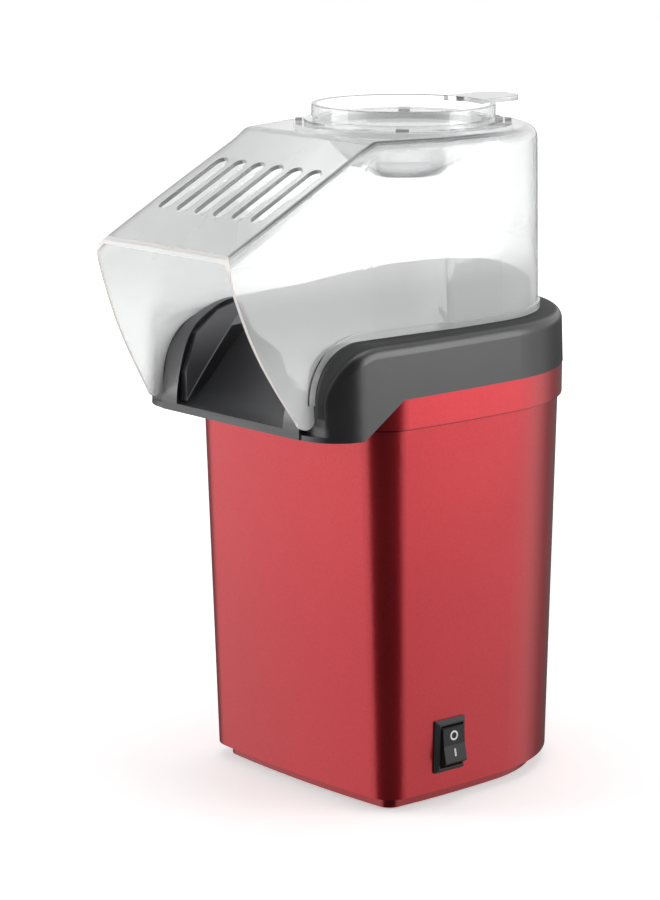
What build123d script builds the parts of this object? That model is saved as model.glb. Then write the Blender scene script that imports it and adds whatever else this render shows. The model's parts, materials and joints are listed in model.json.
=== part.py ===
from build123d import *
import math
import os

os.makedirs("parts", exist_ok=True)

# Driving dimensions in millimetres: +Z up, front of the machine toward -Y.
# A "reach" is measured forward from the chamber axis.
FAR = 300.0  # reach of the cutting shapes, past every face

# Column: round back, bowed sides and front
BODY_BACK_R = 55.7
BACK_SHIFT = 4.2  # chamber axis to the centre of the round back
BODY_SIDE_R = 400.0
BODY_FRONT = 58.9  # reach of the front face
BODY_FRONT_R = 500.0
BODY_CORNER_R = 11.0
BODY_DRAFT = 2.7  # growth of the column from foot to band
FRONT_LEAN = 3.1  # further forward lean of the front face up to the band
WALL = 2.5
BAND_STEP = 1.6

# Heights of the main levels, each above the one before
FOOT_DROP = 0.6
BASE_RING_H = 5.0
BODY_H = 144.8
BAND_H = 12.2
CHUTE_DROP = 0.8  # underside of the chute below the band
LEDGE_RISE = 20.9  # band to the ledge that carries the hood
GUARD_RISE = 4.6
GUARD_BACK_RISE = 13.5
HOOD_RISE = 71.1
CUP_RISE = 8.2

# Collar
COLLAR_OVER = 0.7  # overhang past the band
COLLAR_SIDE_R = 840.0
CHUTE_REACH = 31.6  # collar front past the column front
COLLAR_FRONT_R = 900.0
COLLAR_CORNER_R = 18.0
COLLAR_LEAN = 1.3
COLLAR_WALL = 3.0
COLLAR_EDGE_R = 4.5
DIAG_SET = 3.4  # upper end of the sloping underside, behind the column front
DIAG_LAND = 16.0  # flat underside behind the collar front
SHOULDER_SET = 3.8  # front of the shoulder arc behind the collar front
SHOULDER_R = 20.7
SLOT_FLOOR = 2.0  # thickness left under the hood's tips

# Guard rim, chute channel and deck
GUARD_GAP = 2.2  # guard to the inside of the hood
GUARD_T = 2.4
GUARD_SET = 0.2  # guard front behind the collar front
GUARD_IN = (8.2, 6.2, 1.6)  # insets at front, bend and waist from the back radius
GUARD_REACHES = (60.0, 23.0)
GUARD_ROUND = 40.0
GUARD_FLAT = 20.0  # reach where the rim starts to climb
GUARD_RUN = 41.0  # length of the rim's curved front
GUARD_CURVE = [(0.066, 0.37), (0.263, 0.755), (0.62, 0.945)]  # shares of run and rise
GUARD_HALF = 0.623  # share of the climb where the rim has risen a quarter
CHANNEL_SIDE_R = 315.0
CHANNEL_OVER = 8.5  # channel past the collar front
CHANNEL_CORNER_R = 6.0
LIP_H = 3.1
DECK_DROP = 7.8
DECK_T = 3.5
CHEEK_LOW_T = 4.0  # thickness of the chute's cheeks at lip and rim
CHEEK_HIGH_T = 0.5
CHEEK_SET = 1.2  # cheek inside the rim's curve
RIDGE = [(3.0, 1.2), (34.5, 25.0), (40.5, 25.0)]  # insets and rises of the cheek's lower edge
RAMP_END = 7.0  # top of the ramp in front of the chamber wall
RAMP = [(0.0, 0.0), (0.255, 0.043), (0.51, 0.326), (0.787, 0.783), (1.0, 1.0)]  # shares of run and rise

# Hood
HOOD_LEDGE = 9.9  # collar outside to hood outside at the back
HOOD_T = 1.6
HOOD_GAP = 0.3
HOOD_TAPER = 2.0
HOOD_LOW_IN = (11.8, 2.6, 0.8)
HOOD_LOW_REACHES = (60.0, 23.0)
HOOD_LOW_ROUND = 60.0
HOOD_HIGH_IN = (12.4, 11.9, 1.6)
HOOD_HIGH_REACHES = (53.0, 22.0)
HOOD_HIGH_ROUND = 24.0
HOOD_OVERHANG = 30.9  # hood front past the collar front
HOOD_TRIM = 6.0  # spare length of the hood sections before trimming
SECTION_LOW = 4.0  # low hood section below the chute
SECTION_HIGH = 3.0  # high hood section above the top
HOOD_EDGE_R = 5.0
FOLD_SET = 6.2  # roof fold in front of the boss
FOLD_R = 7.0
ROOF_DROP = 35.5
NOSE_IN = 1.0
TIP_RISE = 7.3
TIP_W = 7.4
TIP_DIP = 2.8
MOUTH_CURVE = [(0.0, 0.0965), (0.07, 0.217), (0.367, 0.539)]  # shares of run and drop
FLANGE_H = 2.6
FLANGE_T = 0.8
SLOT_COUNT = 6
SLOT_PITCH = 10.3
SLOT_W = 6.2
SLOT_L = 36.0
SLOT_MID = 0.495  # share of the roof length from fold to mouth
HOLE_IN = 14.2  # filling hole inside the hood's back radius
BOSS_W = 8.0
BOSS_H = 1.0
STOP_COUNT = 4
STOP_W = 5.0
STOP_L = 2.6
STOP_H = 1.5
STOP_CLEAR = 0.5  # stop to the cup's flange

# Measuring cup
CUP_SEAT_W = 3.9
CUP_GAP = 0.3
CUP_PLAY = 2.6
CUP_T = 1.8
CUP_FLANGE_T = 1.2
RING_SET = 3.0
CUP_DEPTH = 27.3
CUP_BASE_R = 14.0
CUP_BELLY_IN = 7.5
CUP_BELLY_H = 7.5
CUP_NECK_H = 2.0
TAB_L = 24.0
TAB_W = 22.0
TAB_T = 2.0

# Rocker switch, standard size with a bezel of 21 x 15
SWITCH_REACH = 27.6
SWITCH_RISE = 17.8
SWITCH_W = 12.8
SWITCH_H = 18.9
SWITCH_DEPTH = 13.0
SWITCH_FLOOR = 2.0
SWITCH_WALL = 0.8
SWITCH_END = 0.95
BEZEL_LIP_W = 1.1
BEZEL_LIP_H = 1.05
BEZEL_T = 1.8
BEZEL_R = 0.6
BEZEL_RIM = 0.5  # upright part of the bezel's edge
BEZEL_SLOPE = 1.4  # width of its bevel
BEZEL_LIFT = 0.1  # bezel clear of the drafted wall
CUT_CLEAR = 0.2
ROCKER_CLEAR = 0.3
ROCKER_DISH = 4.35
ROCKER_KEEL = 4.5
ROCKER_FACE_DEG = 36.0
ROCKER_BACK_DEG = 22.0
ROCK_DEG = 9.0
PIVOT_IN = 0.8
PIN_R = 1.2
PIN_CLEAR = 0.05
PIN_BITE = 0.4
TERMINAL_PITCH = 5.0
TERMINAL_W = 4.8
TERMINAL_T = 0.8
TERMINAL_L = 7.0

# Drive, standing on the base cover
MOTOR_ROOM = 21.0  # base plate to the motor can
MOTOR_R = 14.0
MOTOR_H = 36.0
MOTOR_T = 1.0
MOTOR_END_T = 2.0
CAP_H = 3.0
SHAFT_R = 1.15
SHAFT_CLEAR = 0.05
SHAFT_TAIL = 1.5
SHAFT_NOSE = 1.0
MAGNET_T = 3.2
MAGNET_SPLIT = 8.0
MAGNET_SET = 4.0
ROTOR_GAP = 1.2
ROTOR_SLOTS = 5
ROTOR_SLOT_R = 1.2
COMMUTATOR_R = 3.4
COMMUTATOR_H = 3.0
MOTOR_SCREW_RING = 8.0
MOTOR_SCREW_R = 1.2
MOTOR_SCREW_HEAD_R = 2.2
MOTOR_SCREW_HEAD_T = 1.2
BOARD_Z_T = 1.4
BOARD_IN = 1.5  # rectifier board inside the motor radius
BOARD_HOLE_R = 3.0
DIODE_R = 1.4
DIODE_L = 5.0
DIODE_RING = 8.0

# Air path
DRIVE_SPACE = 19.9  # inside of the column wall to the chamber
CHAMBER_T = 0.8
CHAMBER_LIFT = 0.8  # heater boards to the chamber floor
CHAMBER_FLANGE_T = 1.2
CHAMBER_DISH = 3.0
CHAMBER_RIM_IN = 12.0
CHAMBER_BEVEL = 4.0
LOUVRE_COUNT = 18
LOUVRE_W = 6.0
LOUVRE_T = 2.4
LOUVRE_H = 12.0
LOUVRE_DEG = 25.0
AIR_GAP = 4.2
SLEEVE_T = 0.8
FLANGE_OVER = 1.5
SHROUD_OVER = 1.0
SHROUD_FLOOR_T = 2.0
SHROUD_H = 20.0
SHROUD_T = 4.0
SHROUD_HOLE_R = 4.0
SHROUD_VENTS = 6
SHROUD_VENT_RING = 24.0
SHROUD_VENT_L = 14.0
SHROUD_VENT_W = 6.0
LEG_R = 3.5
LEG_IN = 6.0
FAN_CLEAR = 3.0
FAN_GAP = 3.0
FAN_H = 9.0
FAN_DISC_T = 1.2
FAN_BLADES = 8
BLADE_T = 1.4
BLADE_TURN = 18.0
HUB_R = 6.0
COIL_GAP = 12.2  # coil inside the sleeve
COIL_WIRE_R = 0.8
COIL_PITCH = 4.0
COIL_TURNS = 3
COIL_LIFT = 2.0
BOARD_T = 1.0
BOARD_H = 18.8
BOARD_FOOT = 4.0
BOARD_CLEAR = 0.1
FOOT_CLEAR = 0.3
BOARD_NOTCH = 4.0
FUSE_R = 2.0
FUSE_L = 12.0
FUSE_X = 12.0
FUSE_LIFT = 3.0
THERMOSTAT_W = 14.0
THERMOSTAT_T = 3.0
THERMOSTAT_RISE = 40.0
THERMOSTAT_CAP_T = 5.0

# Base, feet and fasteners
BASE_CLEAR = 0.5
BASE_STEP = 2.4  # ring further in than the upstand
PLATE_T = 3.0
UPSTAND_H = 5.0
UPSTAND_T = 2.0
VENT_COUNT = 12
VENT_RING = 17.0
VENT_L = 14.0
VENT_W = 3.2
FOOT_R = 7.0
FOOT_SINK = 0.8
FOOT_STEP = 14.0  # foot beside its screw
FOOT_EDGE = 0.4
SCREW_R = 1.5
SCREW_HEAD_R = 3.0
SCREW_HEAD_T = 1.8
SCREW_CLEAR = 0.3
BASE_SCREW_L = 12.0
DECK_SCREW_L = 10.0
SCREW_SPARE = 3.0
POST_R = 4.0
POST_H = 18.0
POST_BITE = 0.5  # post sunk into the wall
POST_SIDE_IN = 11.9
POST_FRONT_IN = 14.9
POST_REAR_IN = 10.4
POST_REAR_DEG = 45.0
WEB_L = 16.0
WEB_W = 3.0
DECK_POST_IN = 7.0
DECK_POST_REACH = 18.0
DECK_POST_DEG = 47.4
LUG_RISE = 1.0
LUG_T = 3.0
GLAND_RISE = 16.0
GLAND_R = 5.0
GLAND_BORE_R = 3.0
GLAND_HEAD_R = 7.5
GLAND_HEAD_T = 2.4
GLAND_EDGE = 1.0
GLAND_STEP = 0.4
GLAND_TAIL = 9.0

# Levels and radii worked out from the sizes above
BODY_Z = FOOT_DROP + BASE_RING_H
BAND_Z = BODY_Z + BODY_H
BAND_TOP = BAND_Z + BAND_H
CHUTE_Z = BAND_Z - CHUTE_DROP
LIP_TOP = CHUTE_Z + LIP_H
LEDGE_Z = BAND_TOP + LEDGE_RISE
DECK_Z = LEDGE_Z - DECK_DROP
DECK_UNDER = DECK_Z - DECK_T
GUARD_Z = LEDGE_Z + GUARD_RISE
GUARD_BACK_Z = LEDGE_Z + GUARD_BACK_RISE
HOOD_TOP_Z = LEDGE_Z + HOOD_RISE
CUP_RIM_Z = HOOD_TOP_Z + CUP_RISE
CUP_SEAT = HOOD_TOP_Z + BOSS_H + CUP_GAP
CUP_LOW = CUP_RIM_Z - CUP_DEPTH
PLATE_TOP = FOOT_DROP + PLATE_T
LUG_Z = BAND_Z + LUG_RISE
MOTOR_LOW = PLATE_TOP + MOTOR_ROOM
SHROUD_Z = MOTOR_LOW + MOTOR_H
SHROUD_FLOOR = SHROUD_Z + SHROUD_FLOOR_T
SHROUD_TOP = SHROUD_FLOOR + SHROUD_H
CHAMBER_LOW = SHROUD_TOP + BOARD_H + CHAMBER_LIFT
FAN_Z = SHROUD_FLOOR + FAN_GAP
BOARD_Z = MOTOR_LOW - CAP_H - BOARD_Z_T

COLLAR_BACK_R = BODY_BACK_R + BODY_DRAFT + BAND_STEP + COLLAR_OVER
COLLAR_FRONT = BODY_FRONT + CHUTE_REACH
HOOD_REACH = COLLAR_FRONT + HOOD_OVERHANG
SHOULDER_REACH = COLLAR_FRONT - SHOULDER_SET - SHOULDER_R
TIP_REACH = SHOULDER_REACH + SHOULDER_R + HOOD_GAP + TIP_W
HOOD_BACK_R = COLLAR_BACK_R - HOOD_LEDGE
HOOD_HIGH_R = HOOD_BACK_R - HOOD_TAPER
GUARD_BACK_R = HOOD_BACK_R - HOOD_T - GUARD_GAP
CHANNEL_R = GUARD_BACK_R - GUARD_T
HOLE_R = HOOD_HIGH_R - HOLE_IN
BOSS_R = HOLE_R + BOSS_W
FOLD_REACH = BOSS_R + FOLD_SET
CUP_FLANGE_R = HOLE_R + CUP_SEAT_W
CUP_RING_R = CUP_FLANGE_R - RING_SET
CUP_NECK_R = HOLE_R - CUP_PLAY
CHAMBER_R = BODY_BACK_R + BODY_DRAFT - WALL - DRIVE_SPACE
SLEEVE_R = CHAMBER_R + AIR_GAP + SLEEVE_T
CHAMBER_FLANGE_R = SLEEVE_R + FLANGE_OVER
SHROUD_R = SLEEVE_R + SHROUD_OVER
FAN_R = SHROUD_R - SHROUD_T - FAN_CLEAR
COIL_R = SLEEVE_R - SLEEVE_T - COIL_GAP
ROTOR_R = MOTOR_R - MOTOR_T - MAGNET_T - ROTOR_GAP
BORE_R = SHAFT_R + SHAFT_CLEAR

# Chamber axis, placed so that the whole machine is centred front to back
AXIS_Y = (HOOD_REACH - BACK_SHIFT - COLLAR_BACK_R) / 2
BACK_Y = AXIS_Y + BACK_SHIFT
UPRIGHT = (Align.CENTER, Align.CENTER, Align.MIN)
HANGING = (Align.CENTER, Align.CENTER, Align.MAX)


def fy(reach):
    """Y of a point that lies `reach` in front of the chamber axis."""
    return AXIS_Y - reach


def side_x(reach):
    """Half width of the column's foot at a reach in front of the axis."""
    return BODY_BACK_R - BODY_SIDE_R + math.sqrt(BODY_SIDE_R**2 - (BACK_SHIFT + reach) ** 2)


def both_sides(spots):
    """The spots and their mirror images across the middle plane."""
    return [(sign * x, y) for x, y in spots for sign in (1, -1)]


def on_back(radius, degrees):
    """Point on the round back, from the chamber axis, at an angle from the side."""
    turn = math.radians(degrees)
    return (radius * math.cos(turn), BACK_SHIFT + radius * math.sin(turn))


# Places of posts, screws and feet, measured from the chamber axis
post_front = BODY_FRONT - POST_FRONT_IN
base_right = [
    (side_x(post_front) - POST_SIDE_IN, -post_front),
    on_back(BODY_BACK_R - POST_REAR_IN, POST_REAR_DEG),
]
deck_in = BODY_DRAFT - WALL - DECK_POST_IN
deck_right = [
    (side_x(DECK_POST_REACH) + deck_in, -DECK_POST_REACH),
    on_back(BODY_BACK_R + deck_in, DECK_POST_DEG),
]
BASE_POSTS = both_sides(base_right)
DECK_POSTS = both_sides(deck_right)
FOOT_SPOTS = both_sides([(x - FOOT_STEP, y) for x, y in base_right])


def u_plan(z, back_r, side_r, front, front_r, corner_r, off=0.0):
    """U-shaped plan face at height z, grown outward by off."""
    side_cx = back_r - side_r
    front_y = fy(front)
    front_cy = front_y + front_r
    ra = side_r + off
    rb = front_r + off
    dx = 0.0 - side_cx
    dy = front_cy - BACK_Y
    dist = math.hypot(dx, dy)
    along = (ra * ra - rb * rb + dist * dist) / (2 * dist)
    rise = math.sqrt(ra * ra - along * along)
    cx = side_cx + along * dx / dist + rise * dy / dist
    cy = BACK_Y + along * dy / dist - rise * dx / dist
    mid_a = math.asin((cy - BACK_Y) / ra) / 2
    mx = side_cx + ra * math.cos(mid_a)
    my = BACK_Y + ra * math.sin(mid_a)
    rk = back_r + off
    with BuildSketch(Plane.XY.offset(z)) as plan:
        with BuildLine():
            ThreePointArc((rk, BACK_Y), (0, BACK_Y + rk), (-rk, BACK_Y))
            ThreePointArc((-rk, BACK_Y), (-mx, my), (-cx, cy))
            ThreePointArc((-cx, cy), (0, front_y - off), (cx, cy))
            ThreePointArc((cx, cy), (mx, my), (rk, BACK_Y))
        make_face()
        fillet(plan.vertices().sort_by(Axis.Y)[:2], corner_r + off)
    return plan.sketch


def body_plan(z, off, lean=0.0):
    return u_plan(z, BODY_BACK_R, BODY_SIDE_R, BODY_FRONT + lean, BODY_FRONT_R, BODY_CORNER_R, off)


def band_plan(z, off):
    """Plan of the column at the band, grown outward by off."""
    return body_plan(z, BODY_DRAFT + off, FRONT_LEAN)


def collar_plan(z, off):
    return u_plan(z, COLLAR_BACK_R, COLLAR_SIDE_R, COLLAR_FRONT, COLLAR_FRONT_R, COLLAR_CORNER_R, off)


def channel_plan(z, off):
    front = COLLAR_FRONT + CHANNEL_OVER
    return u_plan(z, CHANNEL_R, CHANNEL_SIDE_R, front, COLLAR_FRONT_R, CHANNEL_CORNER_R, off)


def waist_plan(z, front, back_r, insets, reaches, round_r, off=0.0):
    """Plan face at height z: straight cheeks, a bend, a waist and a round back."""
    rk = back_r + off
    fw, bx, wx = [rk - inset for inset in insets]
    bend_y = fy(reaches[0])
    waist_y = fy(reaches[1])
    right = [(fw, fy(front)), (bx, bend_y), (wx, waist_y), (rk, BACK_Y)]
    left = [(-x, y) for x, y in reversed(right)]
    with BuildSketch(Plane.XY.offset(z)) as plan:
        with BuildLine():
            Polyline(*right)
            ThreePointArc((rk, BACK_Y), (0, BACK_Y + rk), (-rk, BACK_Y))
            Polyline(*left)
            Line(left[-1], right[0])
        make_face()
        for level in (bend_y, waist_y):
            fillet(plan.vertices().filter_by(lambda v: abs(v.Y - level) < 0.01), round_r)
    return plan.sketch


def hood_sections(off):
    """Low and high sections of the hood, grown outward by off."""
    front = HOOD_REACH + HOOD_TRIM
    low_z = CHUTE_Z - SECTION_LOW
    high_z = HOOD_TOP_Z + SECTION_HIGH
    low = waist_plan(low_z, front, HOOD_BACK_R, HOOD_LOW_IN, HOOD_LOW_REACHES, HOOD_LOW_ROUND, off)
    high = waist_plan(high_z, front, HOOD_HIGH_R, HOOD_HIGH_IN, HOOD_HIGH_REACHES, HOOD_HIGH_ROUND, off)
    return [low, high]


roof_run = HOOD_REACH - NOSE_IN - FOLD_REACH
roof_pitch = math.atan2(ROOF_DROP, roof_run)


def roof_z(reach):
    """Height of the hood's outside above a point `reach` in front of the axis."""
    return HOOD_TOP_Z - max(0.0, reach - FOLD_REACH) * ROOF_DROP / roof_run


def upper_rim(edges, inset):
    """Edges along the hood's top and roof, without the cross-wise ones."""
    picked = []
    for edge in edges:
        middle = edge @ 0.5
        span = (edge @ 1) - (edge @ 0)
        level = abs(span.Y) < 0.5 and abs(span.X) > HOLE_R
        if level and abs(middle.X) < 1.0 and middle.Y < BACK_Y:
            continue
        points = [edge @ t for t in (0.0, 0.5, 1.0)]
        off_roof = [abs(p.Z - roof_z(AXIS_Y - p.Y) + inset) for p in points]
        if max(off_roof) < 1.2:
            picked.append(edge)
    return picked


def hood_profile():
    """Side outline of the hood: roof, mouth edge, rounded tip and lower edge."""
    arc_y = fy(SHOULDER_REACH)
    arc_z = LEDGE_Z - SHOULDER_R
    arc_r = SHOULDER_R + HOOD_GAP
    mouth_top = (fy(HOOD_REACH - NOSE_IN), HOOD_TOP_Z - ROOF_DROP)
    tip = (fy(TIP_REACH), CHUTE_Z + TIP_RISE)
    run = HOOD_REACH - TIP_REACH
    drop = mouth_top[1] - tip[1]
    belly = [(fy(HOOD_REACH - run * u), mouth_top[1] - drop * v) for u, v in MOUTH_CURVE]
    tip_low = (fy(TIP_REACH - TIP_W / 2), tip[1] - TIP_DIP)
    tip_end = (arc_y - arc_r, tip[1])
    fold = (fy(FOLD_REACH), HOOD_TOP_Z)
    with BuildSketch(Plane.YZ) as side:
        with BuildLine():
            Polyline((FAR, arc_z + arc_r), (FAR, HOOD_TOP_Z), fold, mouth_top)
            Spline(mouth_top, *belly, tip)
            ThreePointArc(tip, tip_low, tip_end)
            Line(tip_end, (arc_y - arc_r, arc_z))
            RadiusArc((arc_y - arc_r, arc_z), (arc_y, arc_z + arc_r), arc_r)
            Line((arc_y, arc_z + arc_r), (FAR, arc_z + arc_r))
        make_face()
        fillet(side.vertices().filter_by(lambda v: abs(v.X - fold[0]) < 0.01), FOLD_R)
    return side.sketch


def hood_core_profile():
    """Side outline of the hood's hollow, running out past mouth and bottom."""
    ceiling = HOOD_TOP_Z - HOOD_T
    fold_y = fy(FOLD_REACH - HOOD_T * math.tan(roof_pitch / 2))
    front_y = fold_y - FAR
    with BuildSketch(Plane.YZ) as side:
        with BuildLine():
            Polyline(
                (FAR, -FAR),
                (FAR, ceiling),
                (fold_y, ceiling),
                (front_y, ceiling - FAR * math.tan(roof_pitch)),
                (front_y, -FAR),
                close=True,
            )
        make_face()
        fillet(side.vertices().filter_by(lambda v: abs(v.X - fold_y) < 0.01), FOLD_R)
    return side.sketch


def save(holder, name):
    holder.part.label = name
    export_step(holder.part, f"parts/{name}.step")


# Plane of the switch on the right-hand wall
SWITCH_Z = BODY_Z + SWITCH_RISE
switch_r = BODY_SIDE_R + BODY_DRAFT * SWITCH_RISE / BODY_H
switch_y = fy(SWITCH_REACH)
switch_turn = math.asin((switch_y - BACK_Y) / switch_r)
switch_x = BODY_BACK_R - BODY_SIDE_R + switch_r * math.cos(switch_turn)
switch_tilt = math.atan2(BODY_DRAFT, BODY_H)
switch_plane = Plane(
    origin=(switch_x, switch_y, SWITCH_Z),
    x_dir=(-math.sin(switch_turn), math.cos(switch_turn), 0),
    z_dir=(
        math.cos(switch_turn) * math.cos(switch_tilt),
        math.sin(switch_turn) * math.cos(switch_tilt),
        -math.sin(switch_tilt),
    ),
)

# Housing: drafted column, stepped band, then posts and lugs inside
with BuildPart() as column:
    loft([body_plan(BODY_Z, 0.0), band_plan(BAND_Z, 0.0)], ruled=True)
    extrude(band_plan(BAND_Z, BAND_STEP), amount=BAND_H)
    loft([body_plan(BODY_Z, -WALL), band_plan(BAND_Z, -WALL)], ruled=True, mode=Mode.SUBTRACT)
    extrude(band_plan(BAND_Z, -WALL), amount=BAND_H, mode=Mode.SUBTRACT)
    with BuildSketch(Plane.YZ):
        with BuildLine():
            Polyline(
                (fy(FAR), CHUTE_Z),
                (fy(COLLAR_FRONT - DIAG_LAND), CHUTE_Z),
                (fy(BODY_FRONT - DIAG_SET), BAND_TOP),
                (fy(FAR), BAND_TOP),
                close=True,
            )
        make_face()
    extrude(amount=FAR, both=True, mode=Mode.SUBTRACT)

# Solid that trims posts and lugs inside the wall's outer face
with BuildPart() as wall_core:
    loft([body_plan(BODY_Z, POST_BITE - WALL), band_plan(BAND_Z, POST_BITE - WALL)], ruled=True)
    extrude(band_plan(BAND_Z, POST_BITE - WALL), amount=BAND_H)


def post_face(px, py, z, web_w):
    """Round post with a web that runs outward to the wall."""
    reach = math.hypot(px, py)
    out = 1.0 + WEB_L / 2 / reach
    turn = math.degrees(math.atan2(py, px))
    with BuildSketch(Plane.XY.offset(z)) as face:
        with Locations((px, AXIS_Y + py)):
            Circle(POST_R)
        with Locations(Location((px * out, AXIS_Y + py * out, 0), (0, 0, turn))):
            Rectangle(WEB_L, web_w)
    return face.sketch


def at_spots(spots, z):
    """Places at height z for spots measured from the chamber axis."""
    return Locations(*[(px, AXIS_Y + py, z) for px, py in spots])


with BuildPart() as posts:
    for px, py in BASE_POSTS:
        extrude(post_face(px, py, BODY_Z + UPSTAND_H, WEB_W), amount=POST_H)
    for px, py in DECK_POSTS:
        extrude(post_face(px, py, LUG_Z, 2 * POST_R), amount=LUG_T)
    add(wall_core.part, mode=Mode.INTERSECT)

with BuildPart() as housing:
    add(column.part)
    add(posts.part)
    with at_spots(BASE_POSTS, BODY_Z):
        Cylinder(SCREW_R, 2 * (UPSTAND_H + POST_H + SCREW_SPARE), mode=Mode.SUBTRACT)
    with at_spots(DECK_POSTS, LUG_Z):
        Cylinder(SCREW_R, 2 * (LUG_T + SCREW_SPARE), mode=Mode.SUBTRACT)
    with BuildSketch(switch_plane.offset(-SWITCH_DEPTH)):
        Rectangle(SWITCH_W + 2 * CUT_CLEAR, SWITCH_H + 2 * CUT_CLEAR)
    extrude(amount=2 * SWITCH_DEPTH, mode=Mode.SUBTRACT)
    with Locations(Location((0, BACK_Y + BODY_BACK_R, BODY_Z + GLAND_RISE), (90, 0, 0))):
        Cylinder(GLAND_R, 2 * GLAND_TAIL, mode=Mode.SUBTRACT)
save(housing, "housing")

# Base cover: inset ring, slotted plate and an upstand inside the housing
BASE_IN = WALL + BASE_CLEAR
with BuildPart() as base_cover:
    extrude(body_plan(FOOT_DROP, -BASE_IN - BASE_STEP), amount=BASE_RING_H)
    extrude(body_plan(BODY_Z, -BASE_IN), amount=UPSTAND_H)
    extrude(body_plan(PLATE_TOP, -BASE_IN - BASE_STEP - UPSTAND_T), amount=FAR, mode=Mode.SUBTRACT)
    with at_spots(BASE_POSTS, FOOT_DROP):
        Cylinder(POST_R, BASE_RING_H + UPSTAND_H, align=UPRIGHT)
        Cylinder(SCREW_R, 2 * (BASE_RING_H + UPSTAND_H + SCREW_SPARE), mode=Mode.SUBTRACT)
        Cylinder(SCREW_HEAD_R + SCREW_CLEAR, 2 * SCREW_HEAD_T, mode=Mode.SUBTRACT)
    with at_spots(FOOT_SPOTS, FOOT_DROP):
        Cylinder(FOOT_R, 2 * FOOT_SINK, mode=Mode.SUBTRACT)
    with BuildSketch(Plane.XY.offset(FOOT_DROP)):
        with Locations((0, AXIS_Y)):
            with PolarLocations(VENT_RING, VENT_COUNT):
                SlotOverall(VENT_L, VENT_W)
    extrude(amount=PLATE_T, mode=Mode.SUBTRACT)
save(base_cover, "base_cover")

with BuildPart() as feet:
    with at_spots(FOOT_SPOTS, 0):
        Cylinder(FOOT_R, FOOT_DROP + FOOT_SINK, align=UPRIGHT)
    chamfer(feet.edges().group_by(Axis.Z)[0], FOOT_EDGE)
save(feet, "feet")


def screw_set(spots, z, length):
    """Screws at the spots with their heads standing on z and shanks above."""
    with BuildPart() as screws:
        with at_spots(spots, z):
            Cylinder(SCREW_HEAD_R, SCREW_HEAD_T, align=UPRIGHT)
            Cylinder(SCREW_R, SCREW_HEAD_T + length, align=UPRIGHT)
    return screws


base_screws = screw_set(BASE_POSTS, FOOT_DROP, BASE_SCREW_L)
save(base_screws, "base_screws")

# Cord gland: flanged bush in the rear wall
GLAND_Z = BODY_Z + GLAND_RISE
rear = BACK_Y + BODY_BACK_R + BODY_DRAFT * GLAND_RISE / BODY_H
tail = rear - WALL - GLAND_TAIL
face = rear + GLAND_HEAD_T
step = rear + GLAND_STEP
with BuildPart() as cord_gland:
    with BuildSketch(Plane.YZ):
        with BuildLine():
            Polyline(
                (tail, GLAND_Z + GLAND_BORE_R),
                (face, GLAND_Z + GLAND_BORE_R),
                (face, GLAND_Z + GLAND_HEAD_R - GLAND_EDGE),
                (face - GLAND_EDGE, GLAND_Z + GLAND_HEAD_R),
                (step, GLAND_Z + GLAND_HEAD_R),
                (step, GLAND_Z + GLAND_R),
                (tail, GLAND_Z + GLAND_R),
                close=True,
            )
        make_face()
    revolve(axis=Axis((0, 0, GLAND_Z), (0, 1, 0)))
save(cord_gland, "cord_gland")

# Deck: collar with shoulder, guard rim, ramp and lip
SHOULDER_Y = fy(SHOULDER_REACH)
SHOULDER_LOW = LEDGE_Z - SHOULDER_R
with BuildPart() as shoulder_cut:
    with BuildSketch(Plane.YZ):
        with BuildLine():
            arc_foot = (SHOULDER_Y - SHOULDER_R, SHOULDER_LOW)
            slot_end = (SHOULDER_Y - SHOULDER_R, CHUTE_Z + SLOT_FLOOR)
            Polyline((fy(FAR), CHUTE_Z + SLOT_FLOOR), slot_end, arc_foot)
            RadiusArc(arc_foot, (SHOULDER_Y, LEDGE_Z), SHOULDER_R)
            Polyline(
                (SHOULDER_Y, LEDGE_Z),
                (FAR, LEDGE_Z),
                (FAR, FAR + LEDGE_Z),
                (fy(FAR), FAR + LEDGE_Z),
                (fy(FAR), CHUTE_Z + SLOT_FLOOR),
            )
        make_face()
    extrude(amount=FAR, both=True)

with BuildPart() as shoulder:
    loft([collar_plan(CHUTE_Z, 0.0), collar_plan(LEDGE_Z + 1.0, -COLLAR_LEAN)], ruled=True)
    add(shoulder_cut.part, mode=Mode.SUBTRACT)
    rim = []
    for edge in shoulder.edges():
        mid = edge @ 0.5
        flat = abs((edge @ 0).Z - LEDGE_Z) < 0.01 and abs((edge @ 1).Z - LEDGE_Z) < 0.01
        across = abs(mid.X) < 0.01 and mid.Y < BACK_Y
        bent = mid.Z > SHOULDER_LOW + 1.0 and mid.Y < SHOULDER_Y and abs(mid.X) > CHAMBER_R
        if (flat and not across) or bent:
            rim.append(edge)
    fillet(rim, COLLAR_EDGE_R)

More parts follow.
